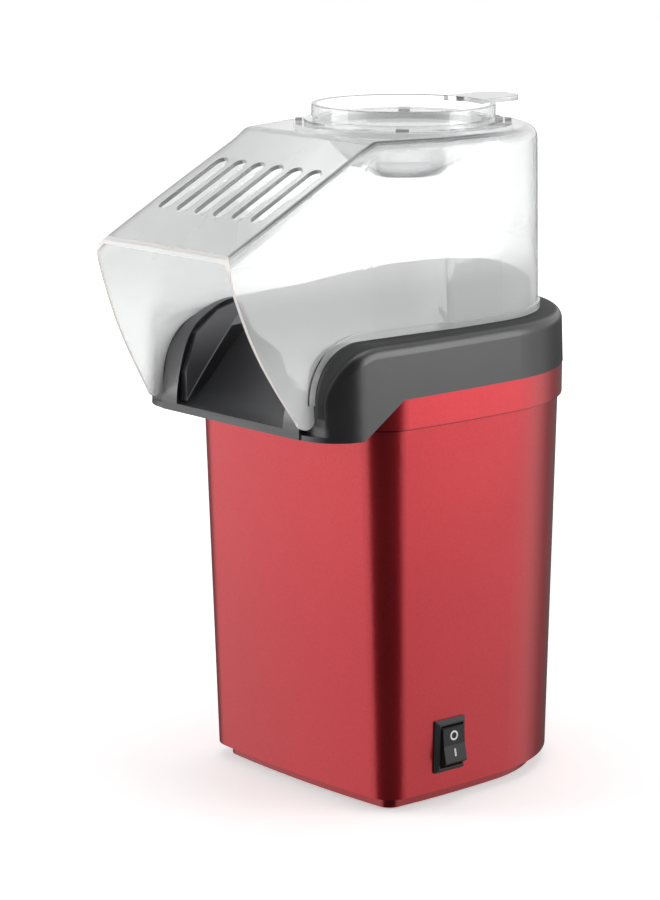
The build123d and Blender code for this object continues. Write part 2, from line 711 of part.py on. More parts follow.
GUARD_FRONT = COLLAR_FRONT - GUARD_SET
guard_end = BACK_Y + GUARD_BACK_R + GUARD_T
guard_climb = GUARD_Z - LIP_TOP
guard_curve = [(GUARD_RUN * u, guard_climb * v) for u, v in GUARD_CURVE]
with BuildPart() as guard:
    guard_face = waist_plan(CHUTE_Z, GUARD_FRONT, GUARD_BACK_R, GUARD_IN, GUARD_REACHES, GUARD_ROUND)
    extrude(guard_face, amount=FAR)
    with BuildSketch(Plane.YZ):
        with BuildLine():
            foot = (fy(GUARD_FRONT), LIP_TOP)
            bends = [(fy(GUARD_FRONT - run), LIP_TOP + rise) for run, rise in guard_curve]
            flat = (fy(GUARD_FRONT - GUARD_RUN), GUARD_Z)
            climb = (fy(GUARD_FLAT), GUARD_Z)
            halfway = (climb[0] + GUARD_HALF * (guard_end - climb[0]), GUARD_Z + GUARD_BACK_RISE / 4)
            crest = (guard_end, GUARD_BACK_Z)
            Line((foot[0], 0), foot)
            Spline(foot, *bends, flat, tangents=((0, 1), (1, 0)))
            Line(flat, climb)
            Spline(climb, halfway, crest, tangents=((1, 0), (1, 0.3)))
            Polyline(crest, (guard_end, 0), (foot[0], 0))
        make_face()
    extrude(amount=FAR, both=True, mode=Mode.INTERSECT)

ramp_run = COLLAR_FRONT - CHAMBER_R - RAMP_END
ramp = [(fy(COLLAR_FRONT - ramp_run * u), LIP_TOP + (DECK_Z - LIP_TOP) * v) for u, v in RAMP]
lip_out = (fy(COLLAR_FRONT + 2 * CHANNEL_OVER), LIP_TOP)
with BuildPart() as channel:
    extrude(channel_plan(0, 0.0), amount=FAR)
    with BuildSketch(Plane.YZ):
        with BuildLine():
            Line(lip_out, ramp[0])
            Spline(*ramp)
            Polyline(ramp[-1], (FAR, DECK_Z), (FAR, FAR), (lip_out[0], FAR), lip_out)
        make_face()
    extrude(amount=FAR, both=True, mode=Mode.INTERSECT)

# Raised cheeks on the chute walls: above a sloping ridge, inside the rim's curve, leaning outward
cheek_top = [(inset + CHEEK_SET, rise - CHEEK_SET) for inset, rise in guard_curve]
cheek_back = (RIDGE[-1][0], guard_climb - CHEEK_SET)
cheek_outline = RIDGE + [cheek_back] + cheek_top[::-1]
cheek_points = [(fy(COLLAR_FRONT - inset), LIP_TOP + rise) for inset, rise in cheek_outline]
with BuildPart() as cheeks:
    extrude(channel_plan(CHUTE_Z, 0.0), amount=FAR)
    cheek_faces = [channel_plan(CHUTE_Z, -CHEEK_LOW_T), channel_plan(GUARD_Z, -CHEEK_HIGH_T)]
    loft(cheek_faces, ruled=True, mode=Mode.SUBTRACT)
    with BuildSketch(Plane.YZ):
        with BuildLine():
            Polyline(*cheek_points, close=True)
        make_face()
    extrude(amount=FAR, both=True, mode=Mode.INTERSECT)

# Hollow under the collar and inside its shoulders
with BuildPart() as hollow:
    extrude(collar_plan(0, -COLLAR_WALL), amount=LEDGE_Z - COLLAR_WALL)
    hollow_r = SHOULDER_R - COLLAR_WALL
    with BuildSketch(Plane.YZ):
        with BuildLine():
            hollow_foot = (SHOULDER_Y - hollow_r, SHOULDER_LOW)
            hollow_top = (SHOULDER_Y, LEDGE_Z - COLLAR_WALL)
            Line((SHOULDER_Y - hollow_r, 0), hollow_foot)
            RadiusArc(hollow_foot, hollow_top, hollow_r)
            Polyline(hollow_top, (FAR, hollow_top[1]), (FAR, 0), (SHOULDER_Y - hollow_r, 0))
        make_face()
    extrude(amount=FAR, both=True, mode=Mode.INTERSECT)
    extrude(channel_plan(0, COLLAR_WALL), amount=FAR, mode=Mode.SUBTRACT)

# Room under the deck plate, inside the column
nose_y = fy(BODY_FRONT - DIAG_SET - 1.0)
with BuildPart() as under_deck:
    extrude(band_plan(CHUTE_Z, -WALL), amount=DECK_UNDER - CHUTE_Z)
    with BuildSketch(Plane.YZ):
        with BuildLine():
            Polyline(
                (nose_y, CHUTE_Z),
                (nose_y, BAND_TOP + 1.0),
                (fy(CHAMBER_R + RAMP_END + 1.0), DECK_UNDER),
                (FAR, DECK_UNDER),
                (FAR, CHUTE_Z),
                close=True,
            )
        make_face()
    extrude(amount=FAR, both=True, mode=Mode.INTERSECT)

# Everything below the collar's outline: flat chute, slope, then the top of the band
with BuildPart() as below:
    with BuildSketch(Plane.YZ):
        with BuildLine():
            Polyline(
                (fy(FAR), 0),
                (fy(FAR), CHUTE_Z),
                (fy(COLLAR_FRONT - DIAG_LAND), CHUTE_Z),
                (fy(BODY_FRONT - DIAG_SET), BAND_TOP),
                (FAR, BAND_TOP),
                (FAR, 0),
                close=True,
            )
        make_face()
    extrude(amount=FAR, both=True)

with BuildPart() as deck:
    add(shoulder.part)
    add(guard.part)
    add(channel.part, mode=Mode.SUBTRACT)
    add(cheeks.part)
    add(hollow.part, mode=Mode.SUBTRACT)
    add(under_deck.part, mode=Mode.SUBTRACT)
    with Locations((0, AXIS_Y, DECK_Z)):
        Cylinder(CHAMBER_R - CHAMBER_T, 4 * DECK_DROP, mode=Mode.SUBTRACT)
    add(below.part, mode=Mode.SUBTRACT)
    with at_spots(DECK_POSTS, LUG_Z + LUG_T):
        Cylinder(POST_R, DECK_UNDER - LUG_Z - LUG_T + POST_BITE, align=UPRIGHT)
        Cylinder(SCREW_R, 2 * DECK_SCREW_L, mode=Mode.SUBTRACT)
save(deck, "deck")
deck_screws = screw_set(DECK_POSTS, LUG_Z - SCREW_HEAD_T, DECK_SCREW_L)
save(deck_screws, "deck_screws")

# Hood: outer form less its hollow, then flange, ring, hole and slots
with BuildPart() as hood_outer:
    loft(hood_sections(0.0), ruled=True)
    extrude(hood_profile(), amount=FAR, both=True, mode=Mode.INTERSECT)
    fillet(upper_rim(hood_outer.edges(), 0.0), HOOD_EDGE_R)

with BuildPart() as hood_core:
    loft(hood_sections(-HOOD_T), ruled=True)
    extrude(hood_core_profile(), amount=FAR, both=True, mode=Mode.INTERSECT)
    fillet(upper_rim(hood_core.edges(), HOOD_T), HOOD_EDGE_R - HOOD_T)

# Stiffening flange along the lower edge
with BuildPart() as hood_flange:
    loft(hood_sections(FLANGE_T), ruled=True)
    loft(hood_sections(-HOOD_T), ruled=True, mode=Mode.SUBTRACT)
    flange_z = LEDGE_Z + HOOD_GAP
    flange_in = SHOULDER_R + HOOD_GAP
    flange_out = flange_in + FLANGE_H
    with BuildSketch(Plane.YZ):
        with BuildLine():
            low_in = (SHOULDER_Y - flange_in, SHOULDER_LOW)
            low_out = (SHOULDER_Y - flange_out, SHOULDER_LOW)
            arc_top = (SHOULDER_Y, flange_z + FLANGE_H)
            RadiusArc(low_in, (SHOULDER_Y, flange_z), flange_in)
            Polyline((SHOULDER_Y, flange_z), (FAR, flange_z), (FAR, arc_top[1]), arc_top)
            RadiusArc(arc_top, low_out, -flange_out)
            Line(low_out, low_in)
        make_face()
    extrude(amount=FAR, both=True, mode=Mode.INTERSECT)

slot_reach = FOLD_REACH + SLOT_MID * roof_run
slot_plane = Plane(
    origin=(0, fy(slot_reach), roof_z(slot_reach)),
    x_dir=(0, -math.cos(roof_pitch), -math.sin(roof_pitch)),
    z_dir=(0, -math.sin(roof_pitch), math.cos(roof_pitch)),
)
slot_spots = [(0, (i - (SLOT_COUNT - 1) / 2) * SLOT_PITCH) for i in range(SLOT_COUNT)]

STOP_RING = CUP_FLANGE_R + STOP_CLEAR + STOP_L / 2
with BuildPart() as hood:
    add(hood_outer.part)
    add(hood_core.part, mode=Mode.SUBTRACT)
    add(hood_flange.part)
    with Locations((0, AXIS_Y, HOOD_TOP_Z - HOOD_T)):
        Cylinder(BOSS_R, HOOD_T + BOSS_H, align=UPRIGHT)
        Cylinder(HOLE_R, 4 * (HOOD_T + BOSS_H), mode=Mode.SUBTRACT)
    with Locations((0, AXIS_Y, HOOD_TOP_Z)):
        with PolarLocations(STOP_RING, STOP_COUNT, start_angle=180 / STOP_COUNT):
            Box(STOP_L, STOP_W, BOSS_H + STOP_H, align=UPRIGHT)
    with BuildSketch(slot_plane.offset(-2 * HOOD_T)):
        with Locations(*slot_spots):
            SlotOverall(SLOT_L, SLOT_W)
    extrude(amount=4 * HOOD_T, mode=Mode.SUBTRACT)
save(hood, "hood")


# Measuring cup: ring wall, seat flange, bowl and tab
def bowl_profile(inset, top):
    """Half section of the bowl, drawn inset from its outside and closed at height top."""
    base = CUP_LOW + inset
    neck = CUP_NECK_R - inset
    with BuildSketch(Plane.XZ) as half:
        with BuildLine():
            Line((0, base), (CUP_BASE_R, base))
            Spline(
                (CUP_BASE_R, base),
                (neck - CUP_BELLY_IN, CUP_LOW + CUP_BELLY_H),
                (neck, CUP_SEAT - CUP_NECK_H),
                (neck, CUP_SEAT),
                tangents=((1, 0.45), (0, 1)),
            )
            Polyline((neck, CUP_SEAT), (neck, top), (0, top), (0, base))
        make_face()
    return half.sketch


tab_root = CUP_RING_R - 2 * CUP_T
tab_end = CUP_RING_R + TAB_L - TAB_W / 2
with BuildPart() as cup_raw:
    revolve(bowl_profile(0.0, CUP_SEAT + CUP_FLANGE_T), axis=Axis.Z)
    with Locations((0, 0, CUP_SEAT)):
        Cylinder(CUP_FLANGE_R, CUP_FLANGE_T, align=UPRIGHT)
        Cylinder(CUP_RING_R, CUP_RIM_Z - CUP_SEAT, align=UPRIGHT)
    with BuildSketch(Plane.XY.offset(CUP_RIM_Z - TAB_T)):
        with Locations((0, (tab_root + tab_end) / 2)):
            Rectangle(TAB_W, tab_end - tab_root)
        with Locations((0, tab_end)):
            Circle(TAB_W / 2)
    extrude(amount=TAB_T)
    with Locations((0, 0, CUP_SEAT + CUP_FLANGE_T)):
        Cylinder(CUP_RING_R - CUP_T, CUP_DEPTH, align=UPRIGHT, mode=Mode.SUBTRACT)
    revolve(bowl_profile(CUP_T, CUP_RIM_Z + CUP_T), axis=Axis.Z, mode=Mode.SUBTRACT)
with BuildPart() as measuring_cup:
    with Locations((0, AXIS_Y, 0)):
        add(cup_raw.part)
save(measuring_cup, "measuring_cup")

# Rocker switch
POCKET_W = SWITCH_W - 2 * SWITCH_WALL
POCKET_H = SWITCH_H - 2 * SWITCH_END
ROCKER_W = POCKET_W - 2 * ROCKER_CLEAR
ROCKER_R = POCKET_H / 2 - ROCKER_CLEAR
PIN_L = POCKET_W + 2 * PIN_BITE
pivot_place = switch_plane.offset(-PIVOT_IN).location * Location((0, 0, 0), (0, 90, 0))


def bezel_face(lift, inset):
    """Outline of the bezel at a height above the wall."""
    with BuildSketch(switch_plane.offset(lift)) as outline:
        RectangleRounded(
            SWITCH_W + 2 * (BEZEL_LIP_W - inset),
            SWITCH_H + 2 * (BEZEL_LIP_H - inset),
            BEZEL_R,
        )
    return outline.sketch


with BuildPart() as switch_frame:
    with BuildSketch(switch_plane.offset(-SWITCH_DEPTH)):
        Rectangle(SWITCH_W, SWITCH_H)
    extrude(amount=SWITCH_DEPTH + BEZEL_LIFT)
    extrude(bezel_face(BEZEL_LIFT, 0.0), amount=BEZEL_RIM)
    bevel = [bezel_face(BEZEL_LIFT + BEZEL_RIM, 0.0), bezel_face(BEZEL_LIFT + BEZEL_T, BEZEL_SLOPE)]
    loft(bevel, ruled=True)
    with BuildSketch(switch_plane.offset(SWITCH_FLOOR - SWITCH_DEPTH)):
        Rectangle(POCKET_W, POCKET_H)
    extrude(amount=SWITCH_DEPTH + BEZEL_T, mode=Mode.SUBTRACT)
    with Locations(pivot_place):
        Cylinder(PIN_R + PIN_CLEAR, PIN_L + 2 * PIN_CLEAR, mode=Mode.SUBTRACT)
save(switch_frame, "switch_frame")


def rocker_point(radius, degrees):
    """Point of the rocker's profile, already tilted to the off position."""
    turn = math.radians(degrees - ROCK_DEG)
    return (radius * math.cos(turn), radius * math.sin(turn) - PIVOT_IN)


# Profile plane: local x up the wall, local y outward
rocker_plane = Plane(origin=switch_plane.origin, x_dir=switch_plane.y_dir, z_dir=switch_plane.x_dir)
with BuildPart() as switch_rocker:
    with BuildSketch(rocker_plane):
        with BuildLine():
            top_in = rocker_point(ROCKER_R, -ROCKER_BACK_DEG)
            top_out = rocker_point(ROCKER_R, ROCKER_FACE_DEG)
            dish = rocker_point(ROCKER_DISH, 90)
            low_out = rocker_point(ROCKER_R, 180 - ROCKER_FACE_DEG)
            low_in = rocker_point(ROCKER_R, 180 + ROCKER_BACK_DEG)
            keel = rocker_point(ROCKER_KEEL, 270)
            ThreePointArc(top_in, rocker_point(ROCKER_R, 0), top_out)
            Polyline(top_out, dish, low_out)
            ThreePointArc(low_out, rocker_point(ROCKER_R, 180), low_in)
            Polyline(low_in, keel, top_in)
        make_face()
    extrude(amount=ROCKER_W / 2, both=True)
    with Locations(pivot_place):
        Cylinder(PIN_R, PIN_L)
save(switch_rocker, "switch_rocker")

with BuildPart() as switch_terminals:
    with BuildSketch(switch_plane.offset(-SWITCH_DEPTH)):
        with GridLocations(0, TERMINAL_PITCH, 1, 3):
            Rectangle(TERMINAL_W, TERMINAL_T)
    extrude(amount=-TERMINAL_L)
save(switch_terminals, "switch_terminals")

# Popping chamber: drawn aluminium cup with louvres round its foot
with BuildPart() as chamber_raw:
    with BuildSketch(Plane.XZ):
        with BuildLine():
            inside = CHAMBER_R - CHAMBER_T
            floor = CHAMBER_LOW + CHAMBER_T
            flange_low = DECK_UNDER - CHAMBER_FLANGE_T
            Polyline(
                (0, CHAMBER_LOW + CHAMBER_DISH),
                (CHAMBER_R - CHAMBER_RIM_IN, CHAMBER_LOW),
                (CHAMBER_R - CHAMBER_BEVEL, CHAMBER_LOW),
                (CHAMBER_R, CHAMBER_LOW + CHAMBER_BEVEL),
                (CHAMBER_R, flange_low),
                (CHAMBER_FLANGE_R, flange_low),
                (CHAMBER_FLANGE_R, DECK_UNDER),
                (inside, DECK_UNDER),
                (inside, CHAMBER_LOW + CHAMBER_BEVEL + CHAMBER_T / 2),
                (CHAMBER_R - CHAMBER_BEVEL - CHAMBER_T / 2, floor),
                (CHAMBER_R - CHAMBER_RIM_IN, floor),
                (0, floor + CHAMBER_DISH),
                close=True,
            )
        make_face()
    revolve(axis=Axis.Z)
    with PolarLocations(CHAMBER_R, LOUVRE_COUNT):
        with Locations(Location((0, 0, CHAMBER_LOW + LOUVRE_H), (LOUVRE_DEG, 0, 0))):
            Box(LOUVRE_W, LOUVRE_T, LOUVRE_H, mode=Mode.SUBTRACT)
with BuildPart() as popping_chamber:
    with Locations((0, AXIS_Y, 0)):
        add(chamber_raw.part)
save(popping_chamber, "popping_chamber")

# Sheet duct from the air box up to the chamber flange
sleeve_h = DECK_UNDER - CHAMBER_FLANGE_T - SHROUD_TOP
with BuildPart() as heat_sleeve:
    with Locations((0, AXIS_Y, SHROUD_TOP)):
        Cylinder(SLEEVE_R, sleeve_h, align=UPRIGHT)
        Cylinder(SLEEVE_R - SLEEVE_T, sleeve_h, align=UPRIGHT, mode=Mode.SUBTRACT)
save(heat_sleeve, "heat_sleeve")

# Air box that holds the motor, standing on legs
with BuildPart() as shroud_raw:
    with Locations((0, 0, SHROUD_Z)):
        Cylinder(SHROUD_R, SHROUD_FLOOR_T + SHROUD_H, align=UPRIGHT)
    with Locations((0, 0, SHROUD_FLOOR)):
        Cylinder(SHROUD_R - SHROUD_T, SHROUD_H, align=UPRIGHT, mode=Mode.SUBTRACT)
    with PolarLocations(SHROUD_R - LEG_IN, 4, start_angle=45.0):
        with Locations((0, 0, PLATE_TOP)):
            Cylinder(LEG_R, SHROUD_Z - PLATE_TOP, align=UPRIGHT)
    with Locations((0, 0, SHROUD_Z)):
        Cylinder(SHROUD_HOLE_R, 4 * SHROUD_FLOOR_T, mode=Mode.SUBTRACT)
        with PolarLocations(MOTOR_SCREW_RING, 2):
            Cylinder(MOTOR_SCREW_R, 4 * SHROUD_FLOOR_T, mode=Mode.SUBTRACT)
    with BuildSketch(Plane.XY.offset(SHROUD_Z)):
        with PolarLocations(SHROUD_VENT_RING, SHROUD_VENTS, start_angle=15.0):
            SlotOverall(SHROUD_VENT_L, SHROUD_VENT_W, rotation=90)
    extrude(amount=SHROUD_FLOOR_T, mode=Mode.SUBTRACT)
with BuildPart() as fan_shroud:
    with Locations((0, AXIS_Y, 0)):
        add(shroud_raw.part)
save(fan_shroud, "fan_shroud")

# Motor: can, cap, magnets, shaft, armature and the screws that hold it
with BuildPart() as motor_can:
    with Locations((0, AXIS_Y, MOTOR_LOW)):
        Cylinder(MOTOR_R, MOTOR_H, align=UPRIGHT)
        Cylinder(MOTOR_R - MOTOR_T, MOTOR_H - MOTOR_END_T, align=UPRIGHT, mode=Mode.SUBTRACT)
    with Locations((0, AXIS_Y, SHROUD_Z)):
        Cylinder(BORE_R, 4 * MOTOR_END_T, mode=Mode.SUBTRACT)
        with PolarLocations(MOTOR_SCREW_RING, 2):
            Cylinder(MOTOR_SCREW_R, 4 * MOTOR_END_T, mode=Mode.SUBTRACT)
save(motor_can, "motor_can")
with BuildPart() as motor_cap:
    with Locations((0, AXIS_Y, MOTOR_LOW - CAP_H)):
        Cylinder(MOTOR_R, CAP_H, align=UPRIGHT)
        Cylinder(BORE_R, 4 * CAP_H, mode=Mode.SUBTRACT)
save(motor_cap, "motor_cap")
magnet_h = MOTOR_H - MOTOR_END_T - 2 * MAGNET_SET - MAGNET_SET / 2
with BuildPart() as motor_magnets:
    with Locations((0, AXIS_Y, MOTOR_LOW + MAGNET_SET)):
        Cylinder(MOTOR_R - MOTOR_T, magnet_h, align=UPRIGHT)
        Cylinder(MOTOR_R - MOTOR_T - MAGNET_T, magnet_h, align=UPRIGHT, mode=Mode.SUBTRACT)
        Box(MAGNET_SPLIT, 4 * MOTOR_R, 4 * MOTOR_H, mode=Mode.SUBTRACT)
save(motor_magnets, "motor_magnets")
shaft_low = MOTOR_LOW - CAP_H - SHAFT_TAIL
shaft_top = FAN_Z + FAN_H + SHAFT_NOSE
with BuildPart() as motor_shaft:
    with Locations((0, AXIS_Y, shaft_low)):
        Cylinder(SHAFT_R, shaft_top - shaft_low, align=UPRIGHT)
save(motor_shaft, "motor_shaft")
with BuildPart() as armature:
    with Locations((0, AXIS_Y, MOTOR_LOW + MAGNET_SET)):
        Cylinder(ROTOR_R, magnet_h, align=UPRIGHT)
        with PolarLocations(ROTOR_R, ROTOR_SLOTS):
            Cylinder(ROTOR_SLOT_R, magnet_h, align=UPRIGHT, mode=Mode.SUBTRACT)
        Cylinder(COMMUTATOR_R, COMMUTATOR_H, align=HANGING)
        Cylinder(SHAFT_R, 4 * MOTOR_H, mode=Mode.SUBTRACT)
save(armature, "armature")
with BuildPart() as motor_screws:
    with Locations((0, AXIS_Y, SHROUD_FLOOR)):
        with PolarLocations(MOTOR_SCREW_RING, 2):
            Cylinder(MOTOR_SCREW_HEAD_R, MOTOR_SCREW_HEAD_T, align=UPRIGHT)
            Cylinder(MOTOR_SCREW_R, SHROUD_FLOOR_T + MOTOR_END_T, align=HANGING)
save(motor_screws, "motor_screws")

# Fan on the motor shaft
blade_l = FAN_R - HUB_R - 1.0
with BuildPart() as fan_raw:
    with Locations((0, 0, FAN_Z)):
        Cylinder(FAN_R, FAN_DISC_T, align=UPRIGHT)
        Cylinder(HUB_R, FAN_H, align=UPRIGHT)
        with PolarLocations(HUB_R + blade_l / 2, FAN_BLADES):
            with Locations(Location((0, 0, FAN_DISC_T / 2), (0, 0, BLADE_TURN))):
                Box(blade_l, BLADE_T, FAN_H - FAN_DISC_T, align=UPRIGHT)
        Cylinder(SHAFT_R, 4 * FAN_H, mode=Mode.SUBTRACT)
with BuildPart() as fan:
    with Locations((0, AXIS_Y, 0)):
        add(fan_raw.part)
save(fan, "fan")

# Rectifier under the motor cap
with BuildPart() as rectifier_board:
    with Locations((0, AXIS_Y, BOARD_Z)):
        Cylinder(MOTOR_R - BOARD_IN, BOARD_Z_T, align=UPRIGHT)
        Cylinder(BOARD_HOLE_R, 4 * BOARD_Z_T, mode=Mode.SUBTRACT)
save(rectifier_board, "rectifier_board")
with BuildPart() as diodes:
    with Locations((0, AXIS_Y, BOARD_Z - DIODE_R)):
        with PolarLocations(DIODE_RING, 4, start_angle=45.0):
            with Locations(Location((0, 0, 0), (90, 0, 0))):
                Cylinder(DIODE_R, DIODE_L)
save(diodes, "diodes")

# Heater: two interlocked boards on the air box, with a coil round them
board_mid = SHROUD_TOP + BOARD_H / 2
board_l = 2 * (COIL_R - COIL_WIRE_R - BOARD_CLEAR)
foot_l = 2 * (SLEEVE_R - SLEEVE_T - FOOT_CLEAR)
notch_w = BOARD_T + 2 * BOARD_CLEAR
with BuildPart() as long_board:
    with Locations((0, AXIS_Y, SHROUD_TOP)):
        Box(board_l, BOARD_T, BOARD_H, align=UPRIGHT)
        Box(foot_l, BOARD_T, BOARD_FOOT, align=UPRIGHT)
    with Locations((0, AXIS_Y, board_mid - BOARD_CLEAR)):
        Box(notch_w, BOARD_NOTCH, BOARD_H, align=UPRIGHT, mode=Mode.SUBTRACT)
with BuildPart() as cross_board:
    with Locations((0, AXIS_Y, SHROUD_TOP)):
        Box(BOARD_T, board_l, BOARD_H, align=UPRIGHT)
        Box(BOARD_T, foot_l, BOARD_FOOT, align=UPRIGHT)
    with Locations((0, AXIS_Y, board_mid)):
        Box(BOARD_NOTCH, notch_w, BOARD_H, align=HANGING, mode=Mode.SUBTRACT)
with BuildPart() as heater_boards:
    add(long_board.part)
    add(cross_board.part)
save(heater_boards, "heater_boards")
with BuildPart() as heating_coil:
    with BuildLine() as coil_path:
        Helix(
            pitch=COIL_PITCH,
            height=COIL_PITCH * COIL_TURNS,
            radius=COIL_R,
            center=(0, AXIS_Y, SHROUD_TOP + BOARD_FOOT + COIL_LIFT),
        )
    with BuildSketch(Plane(origin=coil_path.line @ 0, z_dir=coil_path.line % 0)):
        Circle(COIL_WIRE_R)
    sweep(path=coil_path.line, is_frenet=True)
save(heating_coil, "heating_coil")
with BuildPart() as thermal_fuse:
    with Locations((FUSE_X, AXIS_Y + BOARD_T / 2 + FUSE_R, SHROUD_TOP + FUSE_LIFT)):
        Cylinder(FUSE_R, FUSE_L, align=UPRIGHT)
save(thermal_fuse, "thermal_fuse")

# Bimetal thermostat seated on the sleeve
thermostat_z = SHROUD_TOP + THERMOSTAT_RISE
with BuildPart() as thermostat:
    with Locations((SLEEVE_R + THERMOSTAT_T / 3, AXIS_Y, thermostat_z)):
        Box(THERMOSTAT_T, THERMOSTAT_W, THERMOSTAT_W)
    with Locations(Location((SLEEVE_R + THERMOSTAT_T / 2, AXIS_Y, thermostat_z), (0, 90, 0))):
        Cylinder(THERMOSTAT_W / 2 - 0.5, THERMOSTAT_CAP_T, align=UPRIGHT)
    with Locations((0, AXIS_Y, thermostat_z)):
        Cylinder(SLEEVE_R, 4 * THERMOSTAT_W, mode=Mode.SUBTRACT)
save(thermostat, "thermostat")
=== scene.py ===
"""Finishes, switch marks and studio for the popcorn maker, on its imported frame."""

import json
import math

import bmesh
import bpy
from bpy.props import FloatProperty, FloatVectorProperty, IntProperty, PointerProperty
from mathutils import Matrix, Vector


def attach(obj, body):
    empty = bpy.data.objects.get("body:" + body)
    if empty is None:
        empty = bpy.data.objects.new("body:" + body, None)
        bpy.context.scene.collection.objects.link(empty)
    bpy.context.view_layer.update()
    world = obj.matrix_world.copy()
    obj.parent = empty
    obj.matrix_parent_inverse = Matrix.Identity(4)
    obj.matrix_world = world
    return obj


bl_info = {
    "name": "Popcorn maker",
    "version": (1, 0, 0),
    "blender": (4, 5, 0),
    "location": "3D View > Sidebar > Popcorn maker",
    "description": "Gives the packed popcorn maker its finishes, switch marks and studio",
    "category": "Object",
}

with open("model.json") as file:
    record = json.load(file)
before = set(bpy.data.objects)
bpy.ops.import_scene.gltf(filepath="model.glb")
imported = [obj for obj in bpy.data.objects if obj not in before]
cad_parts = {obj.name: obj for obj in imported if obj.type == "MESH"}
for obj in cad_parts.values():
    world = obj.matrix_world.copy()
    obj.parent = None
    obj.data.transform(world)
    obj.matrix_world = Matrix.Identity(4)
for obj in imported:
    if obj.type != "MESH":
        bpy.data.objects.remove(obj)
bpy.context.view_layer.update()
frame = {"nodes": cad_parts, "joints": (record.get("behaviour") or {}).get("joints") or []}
NODES = frame["nodes"]
JOINTS = {joint["name"]: joint for joint in frame["joints"]}
MM = 0.001


# Fixed values
CHAMBER_Y = JOINTS["rotor_spin"]["pos_m"][1]
COLUMN_DRAFT = math.atan2(2.7, 144.8)  # lean of the column's wall: its growth over its height
NOISE_LOW = 0.3  # noise lies mostly between these two
NOISE_HIGH = 0.7
WAVE_RADIANS = 20.0  # turn of the wave texture over one unit at scale 1
SOFT = 0.2 * MM  # width of a soft edge between two shades
WHITE = (1.0, 1.0, 1.0)

# Shades of the hood: each fade is a measure, its value where the shade is gone and where it is full
# x, y, z and off_middle are places in metres; side, facing, top and rise come from the face's normal
HOOD_SHADES = {
    "front": [("y", 0.030, -0.030)],
    "far": [("x", 0.000, -0.020)],
    "upright": [("side", 0.4, 0.7)],
    "far_tip": [("z", 0.194, 0.180), ("y", -0.070, -0.061)],
    "far_front": [("z", 0.215, 0.165), ("y", -0.055, -0.070)],
    "level": [("rise", 0.5, 0.8)],
    "near": [("x", -0.005, 0.020), ("y", 0.090, 0.075)],
    "low": [("z", 0.212, 0.198)],
    "above": [("z", 0.212, 0.224)],
    "back_foot": [("y", -0.015, 0.010), ("z", 0.216, 0.204)],
    "back": [("y", 0.048, 0.058)],
    "brim": [("rise", 0.15, 0.35), ("z", 0.246, 0.250), ("y", 0.000, 0.030)],
    "hole": [("rise", 0.5, 0.3), ("z", 0.2515, 0.2525)],
    # The crease lines, the fold and the arc at the hood's foot are darkened as painted shade
    "near_line": [("side", 0.04, 0.10), ("side", 0.40, 0.32), ("x", 0.033, 0.035)],
    "far_line": [("side", 0.36, 0.44), ("side", 0.72, 0.66), ("x", -0.033, -0.035)],
    "fold": [("rise", 0.50, 0.60), ("z", 0.212, 0.216), ("y", 0.050, 0.020)],
    "arc": [("side", 0.6, 0.4), ("z", 0.185, 0.178), ("y", -0.0640, -0.0625)],
    "slot": [("off_middle", 0.0345, 0.0335), ("side", 0.3, 0.5), ("y", -0.019, -0.021)],
    "mouth": [("y", -0.0630, -0.0640)],
    "upper_mouth": [("z", 0.204, 0.206), ("y", -0.045, -0.050)],
    "edge": [("facing", -0.55, -0.65), ("z", 0.238, 0.236)],
    "cheeks": [("off_middle", 0.028, 0.031)],
}
TIP_Z = 0.165  # the near wall clears from its tips up to its foot
FOOT_Z = 0.195
ROOF_BACK = 0.4  # share of the roof's painted shade left at its back
CLOUDY = {"crease": 0.35, "arc": 0.05, "rim": 0.25, "hole": 0.25}  # clearness left in each; in the creases and the arc it lets their painted shade show

# Shades of the cup, in the same form
CUP_SHADES = {
    "ring": [("z", 0.2572, 0.2580)],
    "rim": [("z", 0.2623, 0.2626)],
}

# Shades of the deck, in the same form
# reach is the squared distance from the chamber's axis; over_ridge is the height above the cheeks' line
DECK_SHADES = {
    "chute": [("off_middle", 0.046, 0.043), ("y", 0.000, -0.030), ("z", 0.1515, 0.1525)],
    "wall": [("side", 0.6, 0.8)],
    # Painted shade: the chute's wall under the ridge is darkened
    "hollow": [("top", 0.07, 0.04)],
    "cheek": [("top", 0.04, 0.07)],
    # Painted sheen: the cheeks' upper part is lightened
    "painted_sheen": [("z", 0.164, 0.184)],
    # Painted highlight: a line just above the cheeks' ridge is lightened
    "ridge": [("over_ridge", 0.0008, 0.0004)],
    # Painted highlight: the chute's front edge is lightened
    "lip": [("facing", -0.8, -0.9), ("z", 0.156, 0.153)],
    # Painted shade: the shelf round the hood and the faces beside the chute are darkened
    "ledge": [("top", 0.75, 0.95), ("z", 0.168, 0.174)],
    "strip": [("side", 0.40, 0.25), ("off_middle", 0.043, 0.045), ("z", 0.1575, 0.1585)],
    "inner": [("reach", 0.00176, 0.00168), ("z", 0.158, 0.162)],
}
# Tones below 1 are painted shade under the ridge and on the shelf round the hood; tones above 1 are
# painted sheen on the cheeks and painted highlights along the ridge and the chute's front edge
DECK_TONES = {"hollow": 0.3, "painted_sheen": 8.0, "ridge": 14.0, "lip": 3.0, "ledge": 0.25}  # times the black
RIDGE_SLOPE = 0.7556  # rise of the ridge's line along y
RIDGE_Z = 0.19867  # height of the ridge's line at y = 0
LEDGE_ROUGHNESS = 0.8

# Points of the rocker's profile, up the wall and out of it
ROCKER_TOP = (7.3063 * MM, 2.9227 * MM)
ROCKER_DIP = (0.6805 * MM, 3.4964 * MM)
ROCKER_LOW = (-5.7983 * MM, 4.9983 * MM)
AXLE_SET = 0.8 * MM  # depth of its axle in the wall
MARK_SINK = 0.05 * MM  # depth of a mark below the rocker's face
BAR_CORE = 0.2  # width of the bar's inner outline, as a share of the bar's width

